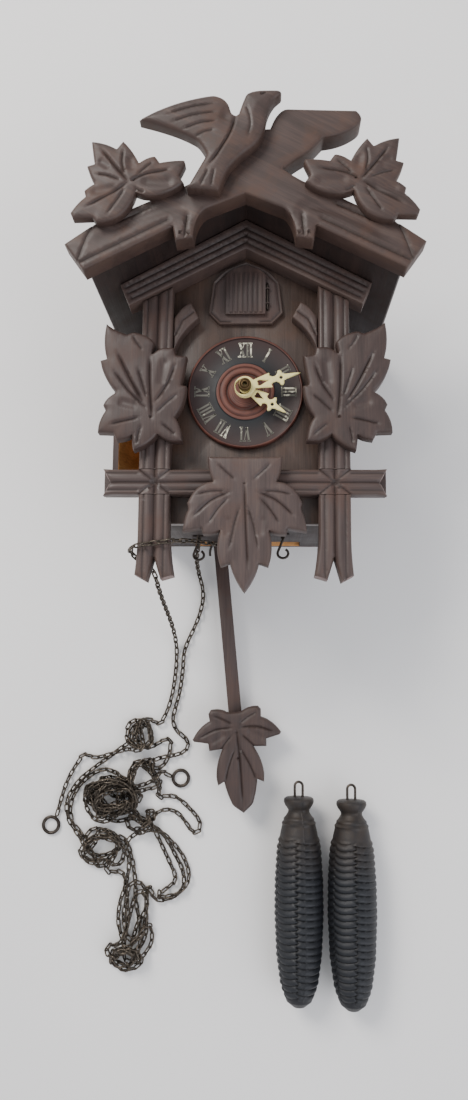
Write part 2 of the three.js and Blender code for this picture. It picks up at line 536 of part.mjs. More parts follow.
function buildTrains() {
  const top = MINUTE_HAND_Z + HAND_THICK;
  add("centre_arbor", join(bar(ARBOR_RADIUS, 0, 0, BACK_PLATE_Z - 0.5, top),
    toothed(3.3, 8, 0.7, 0, 0, 65, 68.4), toothed(CENTRE_WHEEL, 24, 0.9, 0, 0, 70, 71.2),
    toothed(2.6, 8, 0.6, 0, 0, 83, 86)), brass);
  const hourZ = 87;
  const pipe = turned([[PIPE_BORE, hourZ], [PIPE_RADIUS, hourZ],
    [PIPE_RADIUS, HOUR_HAND_Z + HAND_THICK + 0.6], [PIPE_BORE, HOUR_HAND_Z + HAND_THICK + 0.6],
    [PIPE_BORE, hourZ]], 0, 0, 12);
  const hourWheel = cut(toothed(9, 20, 0.8, 0, 0, hourZ, hourZ + 1.2), bar(PIPE_BORE + 0.2, 0, 0, 80, 95));
  add("hour_wheel", join(hourWheel, pipe), brass);

  for (const [name, t] of [["time_great_wheel", TIME], ["strike_great_wheel", STRIKE]]) {
    const sprocket = toothed(SPROCKET_RADIUS, 12, 1.2, t.x, t.y, t.chainZ - 3, t.chainZ + 3);
    const hub = bar(3, t.x, t.y, t.chainZ - 4, t.wheelZ + 1.4);
    add(name, join(arbor(t.x, t.y), toothed(t.wheel, 30, 1, t.x, t.y, t.wheelZ, t.wheelZ + 1.4), hub,
      sprocket), brass);
  }
  add("escape_wheel", join(arbor(ESCAPE.x, ESCAPE.y),
    toothed(ESCAPE.wheel, 15, 1.4, ESCAPE.x, ESCAPE.y, ESCAPE.z, ESCAPE.z + 1.2),
    toothed(1.65, 6, 0.35, ESCAPE.x, ESCAPE.y, 69.4, 71.8)), brass);
  const pins = [0, 1, 2, 3, 4, 5].map((i) => bar(0.7, PIN_WHEEL.x + 9 * Math.cos((i * Math.PI) / 3),
    PIN_WHEEL.y + 9 * Math.sin((i * Math.PI) / 3), PIN_WHEEL.z + 1, PIN_WHEEL.z + 4, 6));
  add("pin_wheel", join(arbor(PIN_WHEEL.x, PIN_WHEEL.y),
    toothed(PIN_WHEEL.wheel, 22, 0.9, PIN_WHEEL.x, PIN_WHEEL.y, PIN_WHEEL.z, PIN_WHEEL.z + 1.2),
    toothed(2.4, 8, 0.5, PIN_WHEEL.x, PIN_WHEEL.y, 53.5, 56), ...pins), brass);
  add("fly", join(arbor(FLY.x, FLY.y),
    toothed(1.8, 6, 0.4, FLY.x, FLY.y, 59.4, 61.8),
    box(FLY.x - 8, FLY.x + 8, FLY.y - 0.4, FLY.y + 0.4, 43, 56)), brass);
}

function buildAnchor() {
  const tip = { x: ESCAPE.wheel - 0.6, y: ESCAPE.y + 5.8 }; // clear of the wheel at both ends of a swing
  const arch = outline([[tip.x + 1.6, tip.y], [tip.x, tip.y], [7.6, 25.4, 0, 27],
    [-7.6, 25.4, -tip.x, tip.y], [-tip.x - 1.6, tip.y], [-10.4, 29.4, -2.6, 32.6], [2.6, 32.6],
    [10.4, 29.4, tip.x + 1.6, tip.y]]);
  const crutch = tube([[0, ANCHOR_LEVEL, 22], [-2.4, 18, 22], [-8, -12, 22], [-14.4, -44, 22],
    [-15, -49, 21], [-15, -50, 18], [-15, -50, 12]], 0.9, 18, 6);
  add("anchor", join(bar(ARBOR_RADIUS, 0, ANCHOR_LEVEL, 20.5, FRONT_PLATE_Z + PLATE_THICK + 0.5),
    slab(arch, ESCAPE.z, ESCAPE.z + 1.2), bar(2, 0, ANCHOR_LEVEL, 20.5, 24), crutch), steel);
}

function buildStrikeWork() {
  const turns = 2.75;
  const centre = [0, 60];
  const spiral = [];
  for (let i = 0; i <= 44; i++) {
    const a = -Math.PI / 2 - (1 - i / 44) * turns * 2 * Math.PI;
    const r = 8 + (14 * i) / 44;
    spiral.push([centre[0] + r * Math.cos(a), centre[1] + r * Math.sin(a), 12]);
  }
  add("gong", join(tube(spiral, 1.1, 60, 6), box(-4, 4, 34, 41, BACK_THICK + GAP, 15)), steel);
  const head = new THREE.CylinderGeometry(3, 3, 7, 10).rotateZ(Math.PI / 2).translate(28, 60, 12);
  add("hammer", join(bar(1.6, HAMMER.x, HAMMER.y, 14, BACK_PLATE_Z - GAP),
    tube([[28, 30, 16], [29.5, 38, 15], [29.5, 52, 12], [28, 60, 12]], 0.9, 8, 6), head), steel);
}

// Two wooden pipes with their bellows: the long one and the short one give the two notes.
function buildWhistles() {
  const width = INNER_HALF - PLATE_HALF - WHISTLE_CLEAR;
  for (const [side, name, low] of [[-1, "left", -34], [1, "right", -22]]) {
    const mid = side * (PLATE_HALF + WHISTLE_CLEAR - WHISTLE_WALL_CLEAR + width / 2);
    const x0 = mid - width / 2;
    const x1 = mid + width / 2;
    add(name + "_whistle_box", cut(box(x0, x1, low, 36.3, 44, 70),
      box(x0 + 2.5, x1 - 2.5, low - 1, 30, 46.5, 67.5),
      box(mid - width / 3.5, mid + width / 3.5, 20, 27, 66, 71)), rawWood);
    const wedge = [[44, 36.7], [70, 40], [70, 46], [44, 41]];
    const profile = outline(wedge.map(([z, y]) => [-z, y]));
    const lid = slab(profile, x0, x1).rotateY(Math.PI / 2);
    add(name + "_bellows_lid", lid, rawWood);
  }
}

// ---- pendulum -----------------------------------------------------------------------------------
function buildPendulum() {
  const hang = new THREE.Group();
  hang.position.set(ROD_TOP[0], ROD_TOP[1], 0);
  hang.rotation.z = PENDULUM_LEAN;
  object.add(hang);
  add("pendulum_rod", box(-ROD_WIDTH / 2, ROD_WIDTH / 2, -ROD_LENGTH, 0, ROD_Z, ROD_Z + ROD_THICK),
    stainedWood, hang);
  const bob = new THREE.Group();
  bob.position.y = -123;
  hang.add(bob);
  const points = [...BOB_LEAF, ...otherHalf(BOB_LEAF).slice(0, -1)];
  add("pendulum_leaf", slab(outline(points), BOB_Z, BOB_Z + BOB_THICK), stainedWood, bob);

  const z = ROD_Z + ROD_THICK + 0.8 + GAP;
  add("pendulum_hook", tube([[-25.6, -88, z - 2.4], [-25.6, -85, z - 1], [-24.4, -81.5, z],
    [-20.5, -77, z], [-18.4, -71, z], [-17, -62, z], [-16.9, -52, z], [-16.6, -48.6, z], [-14.8, -47.6, z],
    [-12.9, -49, z], [-13.2, -51.6, z]], 0.8, 24, 6), steel);
}

// ---- chains, rings and hooks --------------------------------------------------------------------
// Where each chain lies free: out of the case, round the left post and down to the heap.
const TIME_ROUTE = [[2.4, -81.6, 60], [2.2, -85, 60.4], [-3, -89, 68], [-12, -90.5, 80],
  [-22, -90.6, 92], [-31, -91, 102.5], [-37, -91.8, 108.4], [-42, -92.4, 112.2], [-48, -93.2, 112.8],
  [-55, -94.2, 112.8], [-61, -95.2, 113], [-64.4, -96, 112], [-66, -97, 109], [-66, -98, 104],
  [-65.2, -99.6, 98.4], [-62, -101.8, 95], [-57, -105, 94], [-54, -109, 92], [-52.9, -114, 86],
  [-52.4, -119, 74], [-51.9, -124, 58], [-51.2, -129, 42], [-50.4, -134, 28], [-49.6, -140, 15],
  [-49, -146, 6.6], [-48.6, -152.5, 2.8], [-48.6, -161, 2.4], [-49.4, -171, 2.4], [-50.8, -181, 2.4],
  [-53, -190, 2.4], [-56, -197.5, 2.4], [-60, -203, 2.4]];
const STRIKE_ROUTE = [[-30.6, -81.6, 50], [-30.8, -85, 49.6], [-32, -89, 44], [-33.2, -93, 32],
  [-33.6, -97, 18], [-33.2, -101, 8], [-32.2, -105.5, 3], [-31, -111, 2.4], [-31, -119, 2.4],
  [-33.4, -129, 2.4], [-37.4, -139, 2.4], [-41.2, -147.5, 2.4], [-43.4, -155, 2.4], [-43.9, -163, 2.4],
  [-44.7, -172, 2.4], [-46.2, -182, 2.4], [-48.4, -191, 2.4], [-50.2, -199, 2.4], [-48.6, -206, 2.4],
  [-44, -210.5, 2.4], [-40, -215, 2.4], [-41, -220, 2.4], [-46, -223, 2.4], [-53, -224.5, 2.4],
  [-59.2, -226, 2.4]];
// From the heap to the ring on each chain's end.
const TIME_TAIL = [[-58, -234.4, 2.4], [-55.6, -236.2, 2.4], [-53.2, -237, 2.4]];
const STRIKE_TAIL = [[-110.5, -224, 2.4], [-114, -228, 2.4], [-119, -236, 2.4], [-123, -245, 2.4],
  [-125.6, -254, 2.4], [-127.8, -262.6, 2.4]];
const TIME_RING = [-44.4, -239.2];
const STRIKE_RING = [-132.2, -271.2];

// Outline of the heap that the rest of both chains lies in.
const HEAP = [[-62, -207], [-70, -199, -78, -201], [-85, -206, -84, -214], [-96, -222, -108, -232],
  [-117, -246, -115, -266], [-104, -282, -92, -292], [-86, -298, -78, -297], [-76, -320, -78, -339],
  [-88, -346, -86, -356], [-80, -372, -72, -370], [-60, -362, -52, -352], [-48, -338, -50, -326],
  [-40, -322, -28, -322], [-19, -310, -22, -292], [-30, -276, -40, -266], [-50, -258, -56, -250],
  [-60, -238, -62, -228], [-62, -216, -62, -207]];
const HEAP_HOLE = [[-62, -282], [-60, -272, -54, -275], [-44, -284, -40, -294], [-38, -302, -44, -304],
  [-56, -302, -61, -296], [-63, -290, -62, -282]];
const HEAP_HEIGHT = 10;

function buildChains() {
  const chains = [["time", TIME, TIME_ROUTE, TIME_TAIL, TIME_RING, 60],
    ["strike", STRIKE, STRIKE_ROUTE, STRIKE_TAIL, STRIKE_RING, 36]];
  for (const [name, train, route, tail, at, steps] of chains) {
    add(name + "_chain", tube(route, CHAIN_RADIUS, steps), steel);
    add(name + "_chain_tail", tube(tail, CHAIN_RADIUS, tail.length * 3), steel);
    add(name + "_chain_ring", ring(RING_RADIUS, RING_WIRE, at[0], at[1], RING_WIRE + 0.3), steel);
    // The run over the sprocket, from the hook below the case to the way out.
    const z = train.chainZ;
    const loop = [[train.x - LOOP_RADIUS, CHAIN_EXIT, z], [train.x - LOOP_RADIUS, -50, z]];
    for (let i = 0; i <= 8; i++) {
      const a = Math.PI - (i * Math.PI) / 8;
      loop.push([train.x + LOOP_RADIUS * Math.cos(a), train.y + LOOP_RADIUS * Math.sin(a), z]);
    }
    const hookX = train.x + LOOP_RADIUS;
    loop.push([hookX, -50, z], [hookX, CASE_BOTTOM - 2, z]);
    const hook = tube([[hookX, CASE_BOTTOM - 1, z], [hookX, CASE_BOTTOM - 6, z],
      [hookX + 3.4, CASE_BOTTOM - 10, z], [hookX + 2.6, CASE_BOTTOM - 14.5, z],
      [hookX - 1.6, CASE_BOTTOM - 15.4, z], [hookX - 4.2, CASE_BOTTOM - 11.6, z]], 1, 14, 6);
    add(name + "_chain_loop", join(tube(loop, CHAIN_RADIUS, 26), hook), steel);
  }
  const heap = outline(HEAP);
  heap.holes.push(outline(HEAP_HOLE));
  add("chain_heap", slab(heap, GAP, HEAP_HEIGHT, 3), steel);
}

// ---- weights ------------------------------------------------------------------------------------
// Cast cone weights: collar, swelling body, blunt foot, and the wire eye cast into the collar.
function buildWeights() {
  const profile = [[0, 0], [4.2, 0.4], [8.6, 4], [12, 15], [14.4, 32], [WEIGHT_RADIUS, 58],
    [WEIGHT_RADIUS - 0.2, 78], [14.2, 98], [11.4, 112], [8.6, 119], [7.4, 122.5], [10.2, 127.5],
    [9.4, 130.4], [0, WEIGHT_LENGTH]];
  for (const { name, x, top } of WEIGHTS) {
    const lying = new THREE.Group();
    lying.position.set(x, top - WEIGHT_LENGTH, WEIGHT_RADIUS);
    lying.rotation.x = -Math.PI / 2;
    object.add(lying);
    const body = turned(profile, 0, 0, 16);
    const eye = tube([[-3, 0, WEIGHT_LENGTH - 3], [-3.6, 0, WEIGHT_LENGTH + 4],
      [0, 0, WEIGHT_LENGTH + 10.4], [3.6, 0, WEIGHT_LENGTH + 4], [3, 0, WEIGHT_LENGTH - 3]], 1, 16, 6);
    add(name, join(body, eye), castIron, lying);
  }
}

buildCase();
buildRoof();
buildSideDoors();
buildCrest();
buildGableTrim();
buildFrame();
buildBraces();
buildLeaves();
buildDial();
buildHands();
buildDoor();
buildCuckoo();
buildPlates();
buildTrains();
buildAnchor();
buildStrikeWork();
buildWhistles();
buildPendulum();
buildChains();
buildWeights();

export default object;
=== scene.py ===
"""Looks of a carved cuckoo clock that lies on its back, its chains heaped below it and its weights beside.

Metres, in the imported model's own frame: the case back is the plane z = 0, +Y runs up the case and +Z
comes out of the dial. Carved boards, chains, dial, hands and weights are made here around the frame's
nodes; the movement and the plain boards keep the frame's own shape.
"""

import json
import logging
import math
from collections.abc import Callable
from dataclasses import dataclass, field, replace
from enum import Enum

import bmesh
import bpy
import numpy as np
from mathutils import Matrix, Vector
from mathutils.geometry import delaunay_2d_cdt


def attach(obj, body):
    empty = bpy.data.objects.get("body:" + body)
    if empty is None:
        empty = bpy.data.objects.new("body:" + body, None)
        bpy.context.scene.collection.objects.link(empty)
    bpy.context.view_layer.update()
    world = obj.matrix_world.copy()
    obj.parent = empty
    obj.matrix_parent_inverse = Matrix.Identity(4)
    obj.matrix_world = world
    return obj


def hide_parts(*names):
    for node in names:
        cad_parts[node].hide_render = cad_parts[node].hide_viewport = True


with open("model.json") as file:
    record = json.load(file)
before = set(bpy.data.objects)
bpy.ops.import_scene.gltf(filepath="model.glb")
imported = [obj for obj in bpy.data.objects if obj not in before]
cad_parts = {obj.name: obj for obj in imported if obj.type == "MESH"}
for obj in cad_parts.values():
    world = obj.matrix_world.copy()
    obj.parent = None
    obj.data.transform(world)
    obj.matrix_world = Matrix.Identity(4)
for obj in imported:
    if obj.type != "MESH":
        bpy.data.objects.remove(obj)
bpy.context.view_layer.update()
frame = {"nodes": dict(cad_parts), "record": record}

MM = 0.001
log = logging.getLogger("cuckoo_clock")

Point = tuple[float, float]
Point3 = tuple[float, float, float]
Tree = bpy.types.NodeTree
Socket = bpy.types.NodeSocket


# ---- node helpers -------------------------------------------------------------------------------
def linear(hex_colour: str) -> tuple[float, float, float, float]:
    """Turns an sRGB hex colour into the linear RGBA that Blender's sockets take.

    Args:
        hex_colour: a colour such as "#5c4b46".

    Returns:
        Linear red, green, blue and an alpha of 1.
    """
    parts = [int(hex_colour[i : i + 2], 16) / 255 for i in (1, 3, 5)]
    return (*[c / 12.92 if c <= 0.04045 else ((c + 0.055) / 1.055) ** 2.4 for c in parts], 1.0)


def add_node(tree: Tree, kind: str, settings: dict | None = None,
             values: dict | None = None, links: dict | None = None) -> bpy.types.Node:
    """Adds a node with its settings, its sockets' values and its incoming links.

    Args:
        tree: the tree that it goes into.
        kind: the node's type name.
        settings: attributes of the node itself.
        values: default values by input name or number.
        links: source sockets by input name or number.

    Returns:
        The new node.
    """
    made = tree.nodes.new(kind)
    for name, value in (settings or {}).items():
        setattr(made, name, value)
    for name, value in (values or {}).items():
        made.inputs[name].default_value = value
    for name, source in (links or {}).items():
        tree.links.new(source, made.inputs[name])
    return made


def ramp(tree: Tree, source: Socket,
         stops: list[tuple[float, str]]) -> Socket:
    """Adds a colour ramp through (place, hex colour) stops and returns its colour socket."""
    made = add_node(tree, "ShaderNodeValToRGB", links={"Fac": source})
    band = made.color_ramp
    while len(band.elements) < len(stops):
        band.elements.new(0.5)
    for element, (place, colour) in zip(band.elements, stops):
        element.position = place
        element.color = linear(colour)
    return made.outputs["Color"]


def mix_colour(tree: Tree, share: Socket, a: object, b: object,
               blend: str = "MIX") -> Socket:
    """Mixes two colours, each a socket or a hex string, by a share, and returns the result's socket."""
    made = add_node(tree, "ShaderNodeMix", {"data_type": "RGBA", "blend_type": blend},
                    links={"Factor": share})
    for place, value in ((6, a), (7, b)):
        if isinstance(value, str):
            made.inputs[place].default_value = linear(value)
        else:
            tree.links.new(value, made.inputs[place])
    return made.outputs[2]


def spread(tree: Tree, source: Socket, low: float, high: float,
           to_low: float = 0.0, to_high: float = 1.0) -> Socket:
    """Maps a value from low..high to to_low..to_high, clamped, and returns the result's socket."""
    made = add_node(tree, "ShaderNodeMapRange", links={"Value": source},
                    values={"From Min": low, "From Max": high, "To Min": to_low, "To Max": to_high})
    return made.outputs["Result"]


def noise(tree: Tree, where: Socket, size_mm: float,
          detail: float = 4.0, rough: float = 0.55) -> Socket:
    """Adds a noise pattern whose features are about size_mm across, and returns its value socket."""
    made = add_node(tree, "ShaderNodeTexNoise", links={"Vector": where},
                    values={"Scale": 1 / (size_mm * MM), "Detail": detail, "Roughness": rough})
    return made.outputs["Fac"]


def attribute(tree: Tree, name: str) -> Socket:
    """Reads a number that the mesh carries at each vertex, 0 where it carries none."""
    return add_node(tree, "ShaderNodeAttribute", {"attribute_name": name}).outputs["Fac"]


def both(tree: Tree, a: Socket, b: Socket | float,
         operation: str = "MULTIPLY") -> Socket:
    """Combines two values with a maths operation and returns the result's socket."""
    made = add_node(tree, "ShaderNodeMath", {"operation": operation}, links={0: a})
    if isinstance(b, float):
        made.inputs[1].default_value = b
    else:
        tree.links.new(b, made.inputs[1])
    return made.outputs[0]


# ---- finishes -----------------------------------------------------------------------------------
class Grain(Enum):
    """The way that a board's grain runs: a turn about Z in degrees, and whether it runs through Z."""

    UP = (90.0, False)
    ACROSS = (0.0, False)
    RIGHT_SLOPE = (-28.5, False)
    DEEP = (0.0, True)


def start_material(name: str) -> tuple[bpy.types.Material, Tree, bpy.types.Node, Socket]:
    """Makes an empty material and returns it with its tree, its shader and the place on the piece."""
    material = bpy.data.materials.new(name)
    material.use_nodes = True
    tree = material.node_tree
    where = add_node(tree, "ShaderNodeTexCoord").outputs["Object"]
    return material, tree, tree.nodes["Principled BSDF"], where


@dataclass(frozen=True)
class Skin:
    """What a finish gives its shader: colour, roughness, and the relief that its bump reads."""

    colour: Socket
    rough: Socket
    height: Socket
    strength: float
    bump_mm: float
    metallic: float = 0.0


@dataclass(frozen=True)
class Finish:
    """A material whose colour, gloss and relief follow from the place on the piece, in Object coordinates."""

    name: str

    def skin(self, tree: Tree, where: Socket) -> Skin:
        """Adds the finish's own nodes."""
        raise NotImplementedError

    def build(self) -> bpy.types.Material:
        """Makes the material."""
        material, tree, shader, where = start_material(self.name)
        skin = self.skin(tree, where)
        bump = add_node(tree, "ShaderNodeBump", links={"Height": skin.height},
                        values={"Strength": skin.strength, "Distance": skin.bump_mm * MM})
        tree.links.new(skin.colour, shader.inputs["Base Color"])
        tree.links.new(skin.rough, shader.inputs["Roughness"])
        tree.links.new(bump.outputs[0], shader.inputs["Normal"])
        shader.inputs["Metallic"].default_value = skin.metallic
        return material


@dataclass(frozen=True)
class WoodFinish(Finish):
    """Carved or sawn wood under a stain: fibres along the grain, blotches, worn edges, painted shade in the
    cuts.
    """

    deep: str
    base: str
    light: str
    warm: str  # where the stain has rubbed through
    grain: Grain = Grain.UP
    fibre_mm: float = 0.9
    length_mm: float = 22.0
    blotch_mm: float = 26.0
    rough: tuple[float, float] = (0.42, 0.66)
    warmth: float = 0.5

    def skin(self, tree: Tree, where: Socket) -> Skin:
        """Adds fibres and bands along the grain, blotches, pale worn edges and painted shade in the cuts."""
        turn, through = self.grain.value
        along = self.fibre_mm / self.length_mm
        turned = add_node(tree, "ShaderNodeMapping", links={"Vector": where},
                          values={"Rotation": (0.0, 0.0, -math.radians(turn))})
        drawn_out = add_node(tree, "ShaderNodeMapping", links={"Vector": turned.outputs[0]},
                             values={"Scale": (1.0, 1.0, along) if through else (along, 1.0, 1.0)})
        fibre = noise(tree, drawn_out.outputs[0], self.fibre_mm, 5.0, 0.65)
        band = noise(tree, drawn_out.outputs[0], self.fibre_mm * 6, 3.0, 0.5)
        blotch = noise(tree, where, self.blotch_mm, 5.0, 0.6)
        fine = noise(tree, where, 0.5, 3.0, 0.6)
        tone = both(tree, both(tree, fibre, band, "ADD"), 0.5)
        colour = ramp(tree, tone, [(0.30, self.deep), (0.5, self.base), (0.70, self.light)])
        rubbed = spread(tree, blotch, 0.5, 0.68, 0.0, self.warmth)
        colour = mix_colour(tree, rubbed, colour, self.warm)
        edge = both(tree, attribute(tree, "wear"), spread(tree, blotch, 0.3, 0.6, 0.15, 0.75))
        colour = mix_colour(tree, edge, colour, self.light)
        # Painted shade: the middle of each V cut and nail hole is darkened toward the deep colour.
        cut = spread(tree, attribute(tree, "groove_shade"), 0.05, 1.0, 0.0, 0.85)
        dull = both(tree, spread(tree, blotch, 0.3, 0.7, *self.rough),
                    spread(tree, fibre, 0.3, 0.7, -0.06, 0.06), "ADD")
        height = both(tree, fibre, both(tree, fine, 0.35), "ADD")
        return Skin(mix_colour(tree, cut, colour, self.deep), dull, height, 0.55, 0.16)


@dataclass(frozen=True)
class MetalFinish(Finish):
    """Metal with a dulled skin: brass sheet, drawn wire or steel chain."""

    base: str
    dirt_and_shade: str
    rough: tuple[float, float]
    metallic: float = 1.0
    spot_mm: float = 3.0
    dirt_share: float = 0.6

    def skin(self, tree: Tree, where: Socket) -> Skin:
        """Adds dirty spots and a fine grain."""
        spots = noise(tree, where, self.spot_mm, 5.0, 0.6)
        fine = noise(tree, where, 0.35, 2.0, 0.5)
        dirt_and_shade_mask = spread(tree, spots, 0.42, 0.66, 0.0, self.dirt_share)
        dull = spread(tree, spots, 0.35, 0.7, *self.rough)
        return Skin(mix_colour(tree, dirt_and_shade_mask, self.base, self.dirt_and_shade), dull, fine, 0.4, 0.03, self.metallic)


@dataclass(frozen=True)
class IronFinish(Finish):
    """Sand-cast iron under blue-black paint: grainy skin, brown grime at the collar, bare high spots."""

    paint: str
    pale: str
    grime: str
    shadow: str

    def skin(self, tree: Tree, where: Socket) -> Skin:
        """Adds the sand's grain, pale blotches, grime, and painted shade between the scales and in the neck's
        groove.
        """
        blotch = noise(tree, where, 7.0, 5.0, 0.6)
        sand = noise(tree, where, 0.7, 4.0, 0.7)
        colour = mix_colour(tree, spread(tree, blotch, 0.35, 0.7, 0.0, 0.55), self.paint, self.pale)
        # Painted shade: scale roots, column edges and the neck's groove are darkened toward the shadow
        # colour.
        between = spread(tree, attribute(tree, "groove_shade"), 0.1, 1.0, 0.0, 0.9)
        colour = mix_colour(tree, between, colour, self.shadow)
        collar = both(tree, attribute(tree, "wear"), spread(tree, blotch, 0.3, 0.6, 0.25, 1.0))
        return Skin(mix_colour(tree, collar, colour, self.grime), spread(tree, sand, 0.3, 0.7, 0.42, 0.62),
                    both(tree, sand, blotch, "ADD"), 0.5, 0.22, 0.25)


@dataclass(frozen=True)
class DialFinish(Finish):
    """Turned wood dial: red-brown rim and centre with tool rings, matt black chapter ring between."""

    black: str
    black_pale: str
    wood: str
    wood_pale: str
    wood_dark: str
    inner_mm: float = 17.4  # of the black ring
    outer_mm: float = 33.6
    blur_mm: float = 0.15

    def skin(self, tree: Tree, where: Socket) -> Skin:
        """Adds the tool rings, the black ring and painted shade beside the beads."""
        flat = add_node(tree, "ShaderNodeVectorMath", {"operation": "MULTIPLY"}, {1: (1.0, 1.0, 0.0)},
                        {0: where})
        radius = add_node(tree, "ShaderNodeVectorMath", {"operation": "LENGTH"},
                          links={0: flat.outputs[0]}).outputs["Value"]
        blotch = noise(tree, where, 9.0, 5.0, 0.6)
        rings = add_node(tree, "ShaderNodeTexNoise", {"noise_dimensions": "1D"},
                         {"Scale": 1 / (0.55 * MM), "Detail": 2.0}, {"W": radius}).outputs["Fac"]
        wood = ramp(tree, both(tree, both(tree, rings, blotch, "ADD"), 0.5),
                    [(0.33, self.wood_dark), (0.5, self.wood), (0.68, self.wood_pale)])
        black = mix_colour(tree, spread(tree, blotch, 0.4, 0.7), self.black, self.black_pale)
        past_inner = spread(tree, radius, self.inner_mm * MM, (self.inner_mm + self.blur_mm) * MM)
        past_outer = spread(tree, radius, (self.outer_mm - self.blur_mm) * MM, self.outer_mm * MM, 1.0, 0.0)
        colour = mix_colour(tree, both(tree, past_inner, past_outer), wood, black)
        # Painted shade: the dial darkens toward its darkest wood colour beside the beads.
        dirt_and_shade = spread(tree, attribute(tree, "groove_shade"), 0.0, 1.0, 0.0, 0.8)
        return Skin(mix_colour(tree, dirt_and_shade, colour, self.wood_dark), spread(tree, blotch, 0.3, 0.7, 0.5, 0.68),
                    rings, 0.35, 0.05)


@dataclass(frozen=True)
class PaintFinish(Finish):
    """Thin paint or moulded plastic with faint mottling and, where worn is above 0, rubbed patches."""

    base: str
    shade: str
    worn_to: str
    worn: float = 0.0
    patch_mm: float = 4.0
    rough: float = 0.4

    def skin(self, tree: Tree, where: Socket) -> Skin:
        """Adds the mottling and the rubbed patches."""
        patch = noise(tree, where, self.patch_mm, 4.0, 0.6)
        patch = both(tree, patch, both(tree, attribute(tree, "fade"), 0.22), "ADD")
        fine = noise(tree, where, 0.6, 3.0, 0.6)
        colour = mix_colour(tree, spread(tree, fine, 0.35, 0.7, 0.0, 0.5), self.base, self.shade)
        shift = 0.2 * self.worn
        rubbed = spread(tree, patch, 0.62 - shift, 0.68 - shift, 0.0, min(self.worn, 1.0))
        return Skin(mix_colour(tree, rubbed, colour, self.worn_to),
                    spread(tree, fine, 0.3, 0.7, self.rough - 0.07, self.rough + 0.1), fine, 0.25, 0.04)


STAIN = ("#322724", "#463835", "#56463f", "#51372c")
FINISH_LIST = (
    # Carved limewood under a grey-brown stain: soft sheen, faint fibre, reddish where handled.
    WoodFinish("limewood_stained_upright", *STAIN),
    WoodFinish("limewood_stained_across", *STAIN, Grain.ACROSS),
    WoodFinish("limewood_stained_right_slope", *STAIN, Grain.RIGHT_SLOPE),
    # The side leaves and the bob took the stain a little darker than the bars.
    WoodFinish("limewood_stained_leaf", "#2b201d", "#3b2d2a", "#4a3a34", "#483127"),
    # The crest was handled most, so its stain is redder and patchier.
    WoodFinish("limewood_stained_crest", "#2b1f19", "#3b2c28", "#4e3c34", "#503527", Grain.RIGHT_SLOPE,
               warmth=0.7),
    # The front board behind the dial kept a browner, glossier stain.
    WoodFinish("beech_front_board_stained", "#31251f", "#45362f", "#56443a", "#4c3425", rough=(0.34, 0.5),
               warmth=0.7),
    # Sawn roof boards, dark and dull, straight grain from wall to front.
    WoodFinish("spruce_roof_board_dark", "#150e0d", "#241815", "#33221d", "#301b13", Grain.DEEP,
               fibre_mm=1.1, length_mm=60.0, rough=(0.5, 0.7)),
    # Sawn ends of posts and crossbar, where the stain soaked in unevenly.
    WoodFinish("limewood_end_grain", "#3a2723", "#5f4640", "#94827e", "#6b463c", Grain.DEEP,
               fibre_mm=0.7, length_mm=1.4, blotch_mm=5.0, warmth=0.9),
    # Bare spruce inside the case, orange with age.
    WoodFinish("spruce_bare_aged", "#96622f", "#c98f55", "#ddac72", "#cf9458", Grain.DEEP,
               fibre_mm=1.0, length_mm=45.0, rough=(0.55, 0.75)),
    # Stamped brass plates and wheels, yellowed and a little dull.
    MetalFinish("brass_stamped_dull", "#b08a45", "#6f5527", (0.28, 0.5)),
    # The hand nut is browned brass.
    MetalFinish("brass_turned_browned", "#5c4a30", "#33281a", (0.38, 0.6), metallic=0.8),
    # Drawn steel wire, grey-brown.
    MetalFinish("steel_wire_dull", "#4f4944", "#2c2521", (0.34, 0.55)),
    # Chain steel, darkened and oily with pale worn bends.
    MetalFinish("steel_chain_darkened", "#5f574e", "#241e19", (0.30, 0.52), 0.85, 2.2, 0.85),
    # Moulded ivory-coloured plastic: creamy, softly glossy.
    PaintFinish("plastic_ivory_moulded", "#ebdf9c", "#ddcc80", "#cdb970", rough=0.38),
    # Cream numeral foil, partly rubbed off.
    PaintFinish("numeral_foil_cream", "#dcd8c4", "#b9b39a", "#54524a", worn=0.95, patch_mm=5.0),
    # Small painted bird: grey-brown body.
    PaintFinish("bird_paint_brown", "#8a6a48", "#6b4d32", "#4d3625", worn=0.4),
    # Cast weights.
    IronFinish("cast_iron_blue_black_paint", "#1b1d22", "#2c2e33", "#332b25", "#0b0b0d"),
    # Dial.
    DialFinish("turned_dial_wood_black_ring", "#101316", "#1a1f22", "#5e342a", "#754838", "#331b17"),
)


@dataclass
class Finishes:
    """Every material of the clock, made once and shared."""

    made: dict[str, bpy.types.Material] = field(default_factory=dict)

    def build(self) -> None:
        """Makes them all."""
        for finish in FINISH_LIST:
            self.made[finish.name] = finish.build()

    def dress(self, piece: bpy.types.Object, name: str) -> None:
        """Gives a piece one material over all its faces."""
        piece.data.materials.clear()
        piece.data.materials.append(self.made[name])


FINISHES = Finishes()


# ---- mesh helpers -------------------------------------------------------------------------------
SHARP_EDGE = math.radians(40)
FAR = 1e9
NOTHING = 1e-9
BOX_FACES = ((3, 2, 1, 0), (4, 5, 6, 7), (0, 1, 5, 4), (1, 2, 6, 5), (2, 3, 7, 6), (3, 0, 4, 7))


def new_object(name: str, data: bpy.types.ID) -> bpy.types.Object:
    """Puts a mesh, lamp or camera into the scene."""
    made = bpy.data.objects.new(name, data)
    bpy.context.scene.collection.objects.link(made)
    return made


def tie(piece: bpy.types.Object, body: str, nodes: tuple[str, ...]) -> None:
    """Ties a piece to its body and hides the nodes that it stands for."""
    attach(piece, body)
    if nodes:
        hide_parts(*nodes)
    log.info("%s: %d faces on %s", piece.name, len(piece.data.polygons), body)


